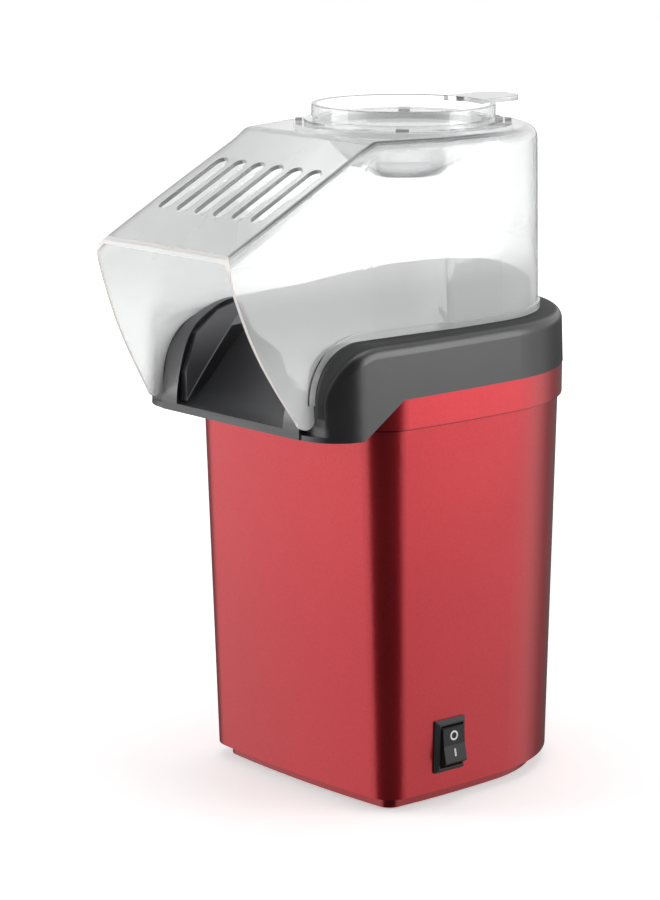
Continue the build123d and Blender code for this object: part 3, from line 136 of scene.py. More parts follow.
# Studio: each softbox has a place, a width and a height in metres
STUDIO_MIDDLE = (0.0, 0.0, 0.14)
SOFTBOXES = {
    "right": ((1.15, 0.75, 0.55), 0.9, 1.1),
    "left": ((-0.95, -1.05, 0.6), 0.8, 1.1),
    "top": ((-0.1, 0.2, 1.5), 1.0, 1.0),
}
FLOOR_RADIUS = 4.0
FLOOR_SIDES = 128
SENSOR_MM = 36.0
CLIP_START = 0.05


# Settings that a user would change


def colour(name, description, default):
    """Return a colour setting."""
    return FloatVectorProperty(
        name=name, description=description, subtype="COLOR", size=3, min=0.0, max=1.0, default=default
    )


def length(name, description, default):
    """Return a length setting in metres."""
    return FloatProperty(
        name=name, description=description, unit="LENGTH", precision=5, min=0.0, default=default
    )


def share(name, description, default):
    """Return a setting between 0 and 1."""
    return FloatProperty(
        name=name, description=description, subtype="FACTOR", min=0.0, max=1.0, default=default
    )


def angle(name, description, degrees):
    """Return an angle setting, with its default given in degrees."""
    default = math.radians(degrees)
    return FloatProperty(name=name, description=description, subtype="ANGLE", default=default)


def amount(name, description, default, unit="NONE"):
    """Return a setting of 0 or more."""
    return FloatProperty(name=name, description=description, unit=unit, min=0.0, default=default)


class LacquerSettings(bpy.types.PropertyGroup):
    """Red metallic lacquer of the column and its base."""

    deep: colour("Deep red", "Colour between the flakes", (0.56, 0.022, 0.032))
    light: colour("Light red", "Colour of the flakes that catch the light", (0.68, 0.040, 0.053))
    flake: length("Flake size", "Width of one metallic flake", 0.00022)
    roughness: share("Roughness", "Spread of the gleam under the clear coat", 0.34)
    # The line under the band is painted shadow: the shade of the band's step, drawn as a dark line
    seam: length("Seam height", "Height of the dark line under the band", 0.1502)
    painted_shadow_tone: share("Seam tone", "Lightness of that line beside the deep red", 0.3)


class BlackSettings(bpy.types.PropertyGroup):
    """Satin black plastic of the deck and the switch."""

    deck: colour("Deck black", "Colour of the deck's plastic", (0.019, 0.019, 0.0205))
    switch: colour("Switch black", "Colour of the switch's plastic", (0.011, 0.011, 0.0116))
    bezel: amount("Bezel tone", "Lightness of the bezel beside the rocker's", 3.2)
    grain: length("Grain", "Width of the moulded grain", 0.0004)
    roughness: share("Roughness", "Spread of the deck's gleam", 0.30)
    switch_roughness: share("Switch roughness", "Spread of the switch's gleam", 0.42)


class ClearSettings(bpy.types.PropertyGroup):
    """Clear plastic of the hood and the cup; a clearness is the share of light not scattered."""

    tint: colour("Tint", "Colour of the clear plastic", (0.95, 0.955, 0.955))
    edge: colour("Cut edge", "Colour that gathers in a cut edge", (0.90, 0.855, 0.83))
    smoke: colour("Smoke", "Colour left after a long way through the plastic", (0.40, 0.41, 0.43))
    density: amount("Smoke density", "Absorption per metre", 28.0)
    shadow: share("Shadow clearness", "Share of light that passes into the shadow", 0.96)
    clear: share("Clearness", "Clearness of the roof and the far wall", 0.69)
    open_clear: share("Back clearness", "Clearness of the rest of the hood", 0.98)
    wall_clear: share("Wall clearness", "Clearness of the near wall", 0.84)
    foot_clear: share("Foot clearness", "Clearness of the near wall by the deck", 0.70)
    tip_clear: share("Tip clearness", "Clearness of the near wall's tip", 0.46)
    back_clear: share("Back foot clearness", "Clearness of the near wall's foot at the back", 0.60)
    mouth_clear: share("Mouth clearness", "Clearness of the far wall's tip", 0.20)
    # The roof tint darkens the roof's top faces as painted shade
    shade_painted: share("Roof tint", "Share of light left by the smoky roof", 0.79)
    # The front tint darkens the far wall towards the mouth as painted shade
    front: share("Front tint", "Share of light left by the smoky wall at the mouth", 0.79)
    # This tint darkens the near wall in front of the deck as painted shade
    near_wall_shade: share("Veil tint", "Share of light left by the near wall in front of the deck", 0.80)
    # This tint darkens the back of the near wall and the brim as painted shade; it also darkens the
    # mouth's cut edge
    band: share("Back tint", "Share of light left by the back of the wall", 0.88)
    # Creases and the arc are darkened almost black as painted shade
    crease_shade: share("Crease tint", "Share of light left by creases", 0.03)
    # Slot walls are darkened as painted shade
    slot: share("Slot tint", "Share of light left by slot walls", 0.35)
    stop: share("Stop tint", "Share of light left by the stops round the cup", 0.5)
    stop_level: length("Stop level", "Height above which the hood's stops are dark", 255.9 * MM)
    brow_level: length("Brow level", "Height above which the mouth's cut edge is cream", 218.65 * MM)
    cup_tone: share("Cup tint", "Share of light left by the cup", 0.95)
    ring_tone: share("Ring tint", "Tint of the cup's ring beside the rest of the cup", 0.98)
    # The cup's rim is drawn grey as painted shade along its edge
    rim: share("Rim tint", "Share of light left by the rim of the cup", 0.5)
    cup_clear: share("Cup clearness", "Clearness of the cup", 0.93)
    ring_clear: share("Ring clearness", "Clearness of the cup's ring", 0.975)
    rim_clear: share("Rim clearness", "Clearness of the cup's rim", 0.6)


class MarkSettings(bpy.types.PropertyGroup):
    """White marks on the rocker: a ring for off and a bar for on."""

    ring_radius: length("Ring radius", "Outer radius of the ring", 1.90 * MM)
    ring_stroke: length("Ring stroke", "Width of the ring's line", 0.66 * MM)
    bar_length: length("Bar length", "Length of the bar", 3.1 * MM)
    bar_width: length("Bar width", "Width of the bar", 0.72 * MM)
    height: length("Height", "Height of a mark above the rocker", 0.06 * MM)
    ring_share: share("Ring place", "Place of the ring from the rocker's dip to its top", 0.56)
    bar_share: share("Bar place", "Place of the bar from the rocker's dip to its lower end", 0.44)
    steps: IntProperty(name="Steps", description="Points round a mark", min=12, default=64)
    white: colour("White", "Colour of the marks", (0.80, 0.80, 0.78))


class StudioSettings(bpy.types.PropertyGroup):
    """Camera, lights and floor."""

    camera: FloatVectorProperty(
        name="Camera",
        description="Place of the camera",
        subtype="XYZ",
        unit="LENGTH",
        default=(0.7811, -0.73905, 0.3747),
    )
    tilt: angle("Tilt", "Camera's angle from looking straight down", 77.18)
    turn: angle("Turn", "Camera's turn about the vertical", 46.99)
    lens: FloatProperty(name="Lens", description="Focal length in millimetres", min=1.0, default=113.44)
    floor: colour("Floor", "Colour of the floor", (0.86, 0.86, 0.86))
    fill: amount("Fill", "Strength of the light from all round", 0.42)
    right: amount("Right light", "Power of the right softbox", 9.0, "POWER")
    left: amount("Left light", "Power of the left softbox", 9.0, "POWER")
    top: amount("Top light", "Power of the top softbox", 5.0, "POWER")


class PopperSettings(bpy.types.PropertyGroup):
    """All settings of the popcorn maker."""

    lacquer: PointerProperty(type=LacquerSettings)
    black: PointerProperty(type=BlackSettings)
    clear: PointerProperty(type=ClearSettings)
    marks: PointerProperty(type=MarkSettings)
    studio: PointerProperty(type=StudioSettings)


# Node helpers


class Graph:
    """Nodes of a material or of the world, with short ways to add and join them."""

    def __init__(self, tree):
        self.tree = tree
        tree.nodes.clear()

    def add(self, kind):
        """Add a shader node by the last part of its type's name."""
        return self.tree.nodes.new("ShaderNode" + kind)

    def put(self, socket, value):
        """Join a socket to another one, or set it to a plain value."""
        if isinstance(value, bpy.types.NodeSocket):
            self.tree.links.new(value, socket)
        else:
            socket.default_value = value

    def spread(self, source, low, high, start=NOISE_LOW, end=NOISE_HIGH):
        """Return the source eased from start..end to low..high."""
        node = self.add("MapRange")
        node.interpolation_type = "SMOOTHSTEP"
        for socket, value in zip(node.inputs[:5], (source, start, end, low, high)):
            self.put(socket, value)
        return node.outputs["Result"]

    def fade(self, source, gone, full):
        """Return a mask that eases from 0, where the source has the value gone, to 1 at the value full."""
        if gone < full:
            return self.spread(source, 0.0, 1.0, gone, full)
        return self.spread(source, 1.0, 0.0, full, gone)

    def math(self, operation, first, second=0.0):
        """Return the result of an operation on two values; each may be a socket or a number."""
        node = self.add("Math")
        node.operation = operation
        for socket, value in zip(node.inputs, (first, second)):
            self.put(socket, value)
        return node.outputs["Value"]

    def vector(self, operation, first, second=None, result="Vector"):
        """Return the result of an operation on vectors; the second may be left out."""
        node = self.add("VectorMath")
        node.operation = operation
        self.put(node.inputs[0], first)
        if second is not None:
            self.put(node.inputs[1], second)
        return node.outputs[result]

    def split(self, vector):
        """Return the three parts of a vector socket."""
        node = self.add("SeparateXYZ")
        self.put(node.inputs["Vector"], vector)
        return node.outputs["X"], node.outputs["Y"], node.outputs["Z"]

    def all_of(self, *masks):
        """Return the product of masks."""
        mixed = masks[0]
        for mask in masks[1:]:
            mixed = self.math("MULTIPLY", mixed, mask)
        return mixed

    def either(self, first, second):
        """Return the larger of two masks."""
        return self.math("MAXIMUM", first, second)

    def blend(self, factor, first, second):
        """Return first where the factor is 0 and second where it is 1: sockets or numbers."""
        node = self.add("Mix")
        node.data_type = "FLOAT"
        for index, value in ((0, factor), (2, first), (3, second)):
            self.put(node.inputs[index], value)
        return node.outputs[0]

    def mix(self, factor, first, second):
        """Return first where the factor is 0 and second where it is 1: sockets or colours."""
        node = self.add("Mix")
        node.data_type = "RGBA"
        self.put(node.inputs[0], factor)
        for socket, value in zip(node.inputs[6:8], (first, second)):
            self.put(socket, (*value, 1.0) if isinstance(value, tuple) else value)
        return node.outputs[2]

    def white_rays(self, path):
        """Return 1 for rays that should meet plain white: from the camera or through clear plastic."""
        return self.either(path["Is Camera Ray"], path["Is Transmission Ray"])


class Finish(Graph):
    """A material under construction: one shader, fed by procedural nodes in the machine's own metres."""

    def __init__(self, name):
        self.material = bpy.data.materials.new(name)
        self.material.use_nodes = True
        super().__init__(self.material.node_tree)
        self.output = self.add("OutputMaterial")
        self.shader = self.add("BsdfPrincipled")
        self.put(self.output.inputs["Surface"], self.shader.outputs["BSDF"])
        self.place = self.add("TexCoord").outputs["Object"]

    def set(self, **values):
        """Set sockets of the shader by name, with spaces written as underscores."""
        for key, value in values.items():
            self.shader.inputs[key.replace("_", " ")].default_value = value

    def feed(self, name, source):
        """Feed a socket of the shader."""
        self.put(self.shader.inputs[name], source)

    def noise(self, size, detail=2.0, stretch=(1.0, 1.0, 1.0)):
        """Return noise whose blotches are about size metres wide, stretched along the axes."""
        mapping = self.add("Mapping")
        self.put(mapping.inputs["Scale"], stretch)
        self.put(mapping.inputs["Vector"], self.place)
        node = self.add("TexNoise")
        self.put(node.inputs["Scale"], 1.0 / size)
        self.put(node.inputs["Detail"], detail)
        self.put(node.inputs["Vector"], mapping.outputs["Vector"])
        return node.outputs["Fac"]

    def cells(self, size):
        """Return a random value for each cell about size metres wide."""
        node = self.add("TexVoronoi")
        self.put(node.inputs["Scale"], 1.0 / size)
        self.put(node.inputs["Vector"], self.place)
        parts = self.add("SeparateColor")
        self.put(parts.inputs["Color"], node.outputs["Color"])
        return parts.outputs["Red"]

    def bands(self, size, axis="Z"):
        """Return bands across an axis, size metres apart."""
        node = self.add("TexWave")
        node.bands_direction = axis
        self.put(node.inputs["Scale"], math.tau / (WAVE_RADIANS * size))
        self.put(node.inputs["Distortion"], 0.0)
        self.put(node.inputs["Vector"], self.place)
        return node.outputs["Fac"]

    def ramp(self, source, *stops):
        """Return a colour ramp over the source: each stop is a place and a colour."""
        node = self.add("ValToRGB")
        elements = node.color_ramp.elements
        while len(elements) < len(stops):
            elements.new(0.5)
        for element, (spot, tone) in zip(elements, stops):
            element.position = spot
            element.color = (*tone, 1.0)
        self.put(node.inputs["Fac"], source)
        return node.outputs["Color"]

    def shaded(self, source, tone, low, high, start=NOISE_LOW, end=NOISE_HIGH):
        """Return a colour that goes from low to high times a tone along the source."""
        return self.ramp(source, (start, toned(tone, low)), (end, toned(tone, high)))

    def around(self, source, middle, swing):
        """Return a value that swings about a middle with the source."""
        return self.spread(source, middle - swing, middle + swing)

    def weighed(self, first, second, part):
        """Return a part of the first source and the rest of the second."""
        rest = self.math("MULTIPLY", second, 1.0 - part)
        return self.math("ADD", self.math("MULTIPLY", first, part), rest)

    def measures(self):
        """Return sockets for the place on the machine and the turn of the face, by name."""
        x, y, z = self.split(self.place)
        across, facing, top = self.split(self.add("NewGeometry").outputs["Normal"])
        return {
            "x": x,
            "y": y,
            "z": z,
            "facing": facing,
            "top": top,
            "off_middle": self.math("ABSOLUTE", x),
            "side": self.math("ABSOLUTE", across),
            "rise": self.math("ABSOLUTE", top),
        }

    def shades(self, table, measures):
        """Return a mask for each shade of a table: the product of its fades."""
        masks = {}
        for name, fades in table.items():
            parts = [self.fade(measures[key], gone, full) for key, gone, full in fades]
            masks[name] = self.all_of(*parts)
        return masks

    def bump(self, height, depth, strength):
        """Feed the shader's normal with a relief of depth metres."""
        node = self.add("Bump")
        self.put(node.inputs["Strength"], strength)
        self.put(node.inputs["Distance"], depth)
        self.put(node.inputs["Height"], height)
        self.feed("Normal", node.outputs["Normal"])

    def wear(self, *nodes):
        """Put the finish on CAD nodes by name."""
        for node in nodes:
            slots = NODES[node].data.materials
            slots.clear()
            slots.append(self.material)


def toned(tone, factor):
    """Return a colour times a factor."""
    return tuple(min(1.0, part * factor) for part in tone)


# Finishes


def lacquer(name, look, painted_shade_factor):
    """Red metallic lacquer: flakes under a clear coat, a faint orange peel and a dark line painted as the
    shadow under the band.
    """
    finish = Finish(name)
    clouds = finish.noise(size=0.05, detail=3.0)
    mixed = finish.weighed(finish.cells(look.flake), clouds, part=0.7)
    # The factor darkens both reds as painted shade; 1 leaves them as they are
    red = finish.ramp(mixed, (0.1, toned(look.deep, painted_shade_factor)), (0.9, toned(look.light, painted_shade_factor)))
    height = finish.split(finish.place)[2]
    # Painted shadow: a dark line at the height of the band's step
    away = finish.math("ABSOLUTE", finish.math("SUBTRACT", height, look.seam))
    seam = finish.fade(away, gone=3.0 * SOFT, full=SOFT)
    finish.feed("Base Color", finish.mix(seam, red, toned(look.deep, look.painted_shadow_tone)))
    finish.feed("Roughness", finish.around(clouds, look.roughness, swing=0.02))
    finish.set(Metallic=0.88, Coat_Weight=1.0, Coat_Roughness=0.05, Coat_IOR=1.5)
    finish.bump(finish.noise(size=0.0012, detail=1.0), depth=0.00002, strength=0.25)
    return finish


def grained(name, grain, depth, gleam):
    """Return plastic with a fine moulded grain and no colour yet, and its clouding as a socket."""
    finish = Finish(name)
    finish.set(Specular_IOR_Level=gleam)
    finish.bump(finish.noise(grain), depth, strength=0.5)
    return finish, finish.noise(size=0.02, detail=4.0)


def moulded(name, tone, roughness, grain, depth=0.00003, gleam=0.5):
    """Moulded plastic: a fine grain, slightly uneven in colour and gleam."""
    finish, clouds = grained(name, grain, depth, gleam)
    finish.feed("Base Color", finish.shaded(clouds, tone, low=0.86, high=1.14))
    finish.feed("Roughness", finish.around(clouds, roughness, swing=0.05))
    return finish


def worked_metal(name, tone, roughness, stretch):
    """Bare metal with drawing or rolling lines that stretch upward, and faint clouding."""
    finish = Finish(name)
    lines = finish.noise(size=0.0006, detail=3.0, stretch=(1.0, 1.0, stretch))
    mixed = finish.weighed(lines, finish.noise(size=0.012, detail=3.0), part=0.6)
    finish.feed("Base Color", finish.shaded(mixed, tone, low=0.82, high=1.1))
    finish.feed("Roughness", finish.around(lines, roughness, swing=0.07))
    finish.set(Metallic=1.0)
    finish.bump(lines, depth=0.000015, strength=0.4)
    return finish


def clear_plastic(name, look, clearness, tone):
    """Return clear plastic with a light shadow, and its tint and clearness as sockets."""
    finish = Finish(name)
    ripple = finish.noise(size=0.03)
    finish.feed("Roughness", finish.spread(ripple, low=0.01, high=0.02))
    finish.set(IOR=1.49)
    lit = finish.math("MULTIPLY", finish.add("LightPath").outputs["Is Shadow Ray"], look.shadow)
    finish.feed("Alpha", finish.math("SUBTRACT", 1.0, lit))
    smoke = finish.add("VolumeAbsorption")
    finish.put(smoke.inputs["Color"], (*look.smoke, 1.0))
    finish.put(smoke.inputs["Density"], look.density)
    finish.put(finish.output.inputs["Volume"], smoke.outputs["Volume"])
    tint = finish.shaded(ripple, look.tint, low=0.985 * tone, high=tone)
    return finish, tint, finish.around(ripple, clearness, swing=0.02)


def hood_plastic(name, look):
    """Clear hood: painted shade on its roof, at its front and back, in its creases, slot walls and arc;
    cream at cut edges.
    """
    finish, tint, haze = clear_plastic(name, look, look.clear, 1.0)
    measures = finish.measures()
    shade = finish.shades(HOOD_SHADES, measures)
    z = measures["z"]
    near = shade["near"]
    hole = shade["hole"]
    left = finish.all_of(shade["far"], shade["upright"], shade["front"])
    left_tip = finish.all_of(left, shade["far_tip"])
    left_pale = finish.either(left_tip, finish.all_of(left, shade["far_front"]))
    roof = finish.all_of(shade["level"], finish.spread(shade["front"], ROOF_BACK, 1.0, 0.0, 1.0))
    crease = finish.all_of(finish.either(shade["near_line"], shade["far_line"]), shade["fold"])
    rim = finish.all_of(shade["edge"], finish.either(shade["mouth"], shade["upper_mouth"]))
    brow = finish.fade(z, look.brow_level, look.brow_level + SOFT)
    cut = finish.all_of(rim, finish.either(brow, shade["cheeks"]))
    # Each tint darkens the clear plastic where its mask lies, as painted shade: the far wall's front, the
    # near wall before the deck, the near wall's back and brim, the roof, the slot walls, the creases and
    # the arc; the stops and the mouth's cut edge are drawn darker, and the far tip and the hole keep the
    # plain tint
    tints = (
        (left, look.front),
        (left_pale, 1.0),
        (finish.all_of(near, shade["low"]), look.near_wall_shade),
        (finish.either(finish.all_of(near, shade["back"]), shade["brim"]), look.band),
        (hole, 1.0),
        (roof, look.shade_painted),
        (finish.fade(z, look.stop_level, look.stop_level + SOFT), look.stop),
        (shade["slot"], look.slot),
        (finish.either(crease, shade["arc"]), look.crease_shade),
        (rim, look.band),
    )
    for mask, left_over in tints:
        tint = finish.mix(mask, tint, toned(look.tint, left_over))
    finish.feed("Base Color", finish.mix(cut, tint, tuple(look.edge)))
    foot = finish.spread(z, look.tip_clear, look.foot_clear, TIP_Z, FOOT_Z)
    clear = finish.blend(finish.either(near, shade["front"]), look.open_clear, haze)
    clear = finish.blend(near, clear, finish.blend(shade["above"], foot, look.wall_clear))
    clear = finish.blend(left_tip, clear, look.mouth_clear)
    clear = finish.blend(finish.all_of(near, shade["back_foot"]), clear, look.back_clear)
    clouded = {"crease": crease, "arc": shade["arc"], "rim": rim, "hole": hole}
    for key, mask in clouded.items():
        clear = finish.math("MULTIPLY", clear, finish.spread(mask, 1.0, CLOUDY[key], 0.0, 1.0))
    finish.feed("Transmission Weight", clear)
    return finish


def cup_plastic(name, look):
    """Clear cup: a clearer ring above its flange, and painted shade along the rim."""
    finish, tint, haze = clear_plastic(name, look, look.cup_clear, look.cup_tone)
    shade = finish.shades(CUP_SHADES, {"z": finish.split(finish.place)[2]})
    tint = finish.mix(shade["ring"], tint, toned(look.tint, look.ring_tone * look.cup_tone))
    finish.feed("Base Color", finish.mix(shade["rim"], tint, toned(look.tint, look.rim)))
    clear = finish.blend(shade["ring"], haze, look.ring_clear)
    finish.feed("Transmission Weight", finish.blend(shade["rim"], clear, look.rim_clear))
    return finish


def deck_plastic(name, look):
    """Black deck: painted light in the chute, a painted sheen on its cheeks, painted highlights along
    their ridge and the chute's front edge, and painted shade under the ridge and on the shelf round the
    hood.
    """
    finish, clouds = grained(name, look.grain, depth=0.000015, gleam=0.8)
    measures = finish.measures()
    x, y, z = (measures[key] for key in "xyz")
    depth = finish.math("SUBTRACT", y, CHAMBER_Y)
    slope = finish.math("ADD", finish.math("MULTIPLY", y, RIDGE_SLOPE), RIDGE_Z)
    squares = [finish.math("MULTIPLY", part, part) for part in (x, depth)]
    measures["reach"] = finish.math("ADD", *squares)
    measures["over_ridge"] = finish.math("SUBTRACT", z, slope)
    shade = finish.shades(DECK_SHADES, measures)
    chute = shade["chute"]
    plain = finish.shaded(clouds, look.deck, low=0.86, high=1.14)
    # Painted light: the chute is drawn paler inside
    chute_painted_light = finish.shaded(clouds, look.deck, low=1.6, high=2.0)
    wall = finish.all_of(chute, shade["wall"])
    cheek = finish.all_of(wall, shade["cheek"])
    outside = finish.fade(chute, gone=1.0, full=0.0)
    ledge = finish.all_of(finish.either(shade["ledge"], shade["strip"]), outside)
    masks = {
        "hollow": finish.all_of(wall, shade["hollow"]),
        "painted_sheen": finish.all_of(cheek, shade["painted_sheen"]),
        "ridge": finish.all_of(cheek, shade["ridge"]),
        "lip": shade["lip"],
        "ledge": ledge,
    }
    tone = finish.mix(chute, plain, chute_painted_light)
    for key, mask in masks.items():
        tone = finish.mix(mask, tone, toned(look.deck, DECK_TONES[key]))
    finish.feed("Base Color", tone)
    gleam = finish.spread(clouds, low=look.roughness - 0.015, high=look.roughness + 0.025)
    finish.feed("Roughness", finish.blend(finish.either(ledge, shade["inner"]), gleam, LEDGE_ROUGHNESS))
    return finish


def laminations(name, tone):
    """Stack of thin steel sheets, seen as fine lines round the armature."""
    finish = Finish(name)
    sheets = finish.bands(size=0.0005)
    finish.feed("Base Color", finish.shaded(sheets, tone, low=0.7, high=1.15, start=0.2, end=0.8))
    finish.feed("Roughness", finish.spread(finish.noise(size=0.004), low=0.38, high=0.52))
    finish.set(Metallic=0.9)
    finish.bump(sheets, depth=0.00004, strength=0.5)
    return finish


def mica(name):
    """Pressed mica sheet: pale flakes with a dull gleam."""
    finish = Finish(name)
    flakes = finish.cells(size=0.0018)
    tones = ((0.0, (0.50, 0.43, 0.32)), (0.5, (0.62, 0.56, 0.44)), (1.0, (0.74, 0.68, 0.57)))
    finish.feed("Base Color", finish.ramp(flakes, *tones))
    finish.feed("Roughness", finish.spread(flakes, low=0.32, high=0.58, start=0.0, end=1.0))
    finish.bump(flakes, depth=0.00004, strength=0.4)
    return finish


def circuit_board(name):
    """Green board with a woven ground under its lacquer."""
    finish = Finish(name)
    thread = 0.0006
    weave = finish.math("MULTIPLY", finish.bands(thread, "X"), finish.bands(thread, "Y"))
    finish.feed("Base Color", finish.ramp(weave, (0.0, (0.05, 0.22, 0.09)), (1.0, (0.09, 0.30, 0.14))))
    finish.feed("Roughness", finish.spread(finish.noise(size=0.006), low=0.25, high=0.4))
    finish.bump(weave, depth=0.00002, strength=0.3)
    return finish


# Switch marks


def rocker_frame():
    """Return the switch's place on the wall and its ways along the axle, up the wall and out of it."""
    tilt = JOINTS["rocker_tilt"]
    along = Vector(tilt["axis"]).normalized()
    upright = Vector((0.0, 0.0, 1.0))
    level = along.cross(upright).normalized()
    out = level * math.cos(COLUMN_DRAFT) - upright * math.sin(COLUMN_DRAFT)
    up = out.cross(along)
    return Vector(tilt["pos_m"]) + out * AXLE_SET, along, up, out


def face_matrix(start, end, part):
    """Return the frame of a spot on the rocker's face, part of the way between two points."""
    origin, along, up, out = rocker_frame()
    first = origin + up * start[0] + out * start[1]
    last = origin + up * end[0] + out * end[1]
    spot = first.lerp(last, part)
    way = (last - first).normalized()
    if way.dot(up) < 0:
        way = -way
    normal = along.cross(way)
    turned = Matrix((along, way, normal)).transposed().to_4x4()
    return Matrix.Translation(spot) @ turned


def build_piece(name, mesh, body, finish):
    """Make a piece from a bmesh, ride it on a body and give it a finish."""
    data = bpy.data.meshes.new(name)
    mesh.to_mesh(data)
    mesh.free()
    piece = bpy.data.objects.new(name, data)
    bpy.context.scene.collection.objects.link(piece)
    data.materials.append(finish.material)
    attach(piece, body)


def printed_band(outer, inner, frame_of, height):
    """Return a thin raised band between two closed outlines with the same count of points."""
    mesh = bmesh.new()
    levels = []
    for outline in (outer, inner):
        for z in (-MARK_SINK, height):
            levels.append([mesh.verts.new(frame_of @ Vector((x, y, z))) for x, y in outline])
    low_out, high_out, low_in, high_in = levels
    count = len(outer)
    for i in range(count):
        j = (i + 1) % count
        mesh.faces.new((low_out[i], low_out[j], high_out[j], high_out[i]))
        mesh.faces.new((high_out[i], high_out[j], high_in[j], high_in[i]))
        mesh.faces.new((high_in[i], high_in[j], low_in[j], low_in[i]))
        mesh.faces.new((low_in[i], low_in[j], low_out[j], low_out[i]))
    bmesh.ops.recalc_face_normals(mesh, faces=mesh.faces)
    return mesh


def ring_outline(radius, steps):
    """Return the points of a circle."""
    turns = [math.tau * i / steps for i in range(steps)]
    return [(radius * math.cos(turn), radius * math.sin(turn)) for turn in turns]


def bar_outline(half_width, half_length, steps):
    """Return the points of an upright bar with round ends."""
    shift = half_length - half_width
    return [(x, y + shift if y >= 0 else y - shift) for x, y in ring_outline(half_width, steps)]


# Operators


class POPPER_OT_red_shell(bpy.types.Operator):
    """Lacquer the column and its base red"""

    bl_idname = "popper.red_shell"
    bl_label = "Red column and base"

    def execute(self, context):
        look = context.scene.popper.lacquer
        lacquer("red_lacquer", look, painted_shade_factor=1.0).wear("housing")
        # The base is painted at 0.6 of the column's red: painted shade for its inset place under the
        # column
        lacquer("red_base", look, painted_shade_factor=0.6).wear("base_cover")
        return {"FINISHED"}


class POPPER_OT_black_deck(bpy.types.Operator):
    """Give the deck and the cord gland their satin black plastic"""

    bl_idname = "popper.black_deck"
    bl_label = "Black deck"

    def execute(self, context):
        look = context.scene.popper.black
        deck_plastic("black_plastic", look).wear("deck", "cord_gland")
        return {"FINISHED"}


class POPPER_OT_clear_parts(bpy.types.Operator):
    """Give the hood and the measuring cup their clear plastic"""

    bl_idname = "popper.clear_parts"
    bl_label = "Clear hood and cup"

    def execute(self, context):
        look = context.scene.popper.clear
        hood_plastic("clear_hood", look).wear("hood")
        cup_plastic("clear_cup", look).wear("measuring_cup")
        return {"FINISHED"}


class POPPER_OT_switch(bpy.types.Operator):
    """Finish the rocker switch and print its ring and bar"""

    bl_idname = "popper.switch"
    bl_label = "Rocker switch and marks"

    def execute(self, context):
        look = context.scene.popper.black
        marks = context.scene.popper.marks
        blacks = (
            ("switch_black", 1.0, "switch_rocker"),
            ("bezel_black", look.bezel, "switch_frame"),
        )
        for name, factor, node in blacks:
            tone = toned(look.switch, factor)
            moulded(name, tone, look.switch_roughness, look.grain, depth=0.00002, gleam=0.35).wear(node)
        worked_metal("brass", (0.70, 0.50, 0.20), roughness=0.30, stretch=0.1).wear("switch_terminals")
        print_white = moulded("mark_white", marks.white, roughness=0.45, grain=0.0002, depth=0.00001)
        ring = printed_band(
            ring_outline(marks.ring_radius, marks.steps),
            ring_outline(marks.ring_radius - marks.ring_stroke, marks.steps),
            face_matrix(ROCKER_DIP, ROCKER_TOP, marks.ring_share),
            marks.height,
        )
        build_piece("mark_off_ring", ring, "rocker", print_white)
        half_width = marks.bar_width / 2
        half_length = marks.bar_length / 2
        core = half_width * BAR_CORE
        bar = printed_band(
            bar_outline(half_width, half_length, marks.steps),
            bar_outline(core, half_length - half_width + core, marks.steps),
            face_matrix(ROCKER_DIP, ROCKER_LOW, marks.bar_share),
            marks.height,
        )
        build_piece("mark_on_bar", bar, "rocker", print_white)
        return {"FINISHED"}


class POPPER_OT_air_path(bpy.types.Operator):
    """Finish the popping chamber, its duct and the heater"""

    bl_idname = "popper.air_path"
    bl_label = "Chamber and heater"

    def execute(self, context):
        aluminium = worked_metal("chamber_aluminium", (0.72, 0.72, 0.71), roughness=0.34, stretch=0.06)
        aluminium.wear("popping_chamber")
        sheet = worked_metal("sheet_steel", (0.60, 0.60, 0.60), roughness=0.30, stretch=0.08)
        sheet.wear("heat_sleeve", "thermal_fuse", "fan")
        plastic = moulded("dark_plastic", (0.035, 0.035, 0.036), roughness=0.50, grain=0.0006)
        plastic.wear("fan_shroud", "motor_cap", "diodes")
        mica("mica").wear("heater_boards")
        wire = worked_metal("nichrome", (0.40, 0.38, 0.35), roughness=0.42, stretch=1.0)
        wire.wear("heating_coil")
        moulded("phenolic", (0.075, 0.055, 0.045), roughness=0.45, grain=0.0008).wear("thermostat")
        return {"FINISHED"}


class POPPER_OT_motor(bpy.types.Operator):
    """Finish the motor and its rectifier"""

    bl_idname = "popper.motor"
    bl_label = "Motor"

    def execute(self, context):
        zinc = worked_metal("zinc_steel", (0.56, 0.56, 0.54), roughness=0.36, stretch=0.1)
        zinc.wear("motor_can", "motor_shaft", "motor_screws", "base_screws", "deck_screws")
        laminations("lamination", (0.33, 0.32, 0.31)).wear("armature")
        ferrite = moulded("ferrite", (0.06, 0.06, 0.064), roughness=0.62, grain=0.0003, depth=0.00006)
        ferrite.wear("motor_magnets")
        circuit_board("circuit_board").wear("rectifier_board")
        return {"FINISHED"}


class POPPER_OT_feet(bpy.types.Operator):
    """Give the feet their matte rubber"""

    bl_idname = "popper.feet"
    bl_label = "Rubber feet"

    def execute(self, context):
        black = (0.032, 0.032, 0.032)
        rubber = moulded("foot_rubber", black, roughness=0.75, grain=0.0005, depth=0.00008)
        rubber.wear("feet")
        return {"FINISHED"}


# Stage


def cosine(degrees):
    """Return the cosine of an angle in degrees."""
    return math.cos(math.radians(degrees))


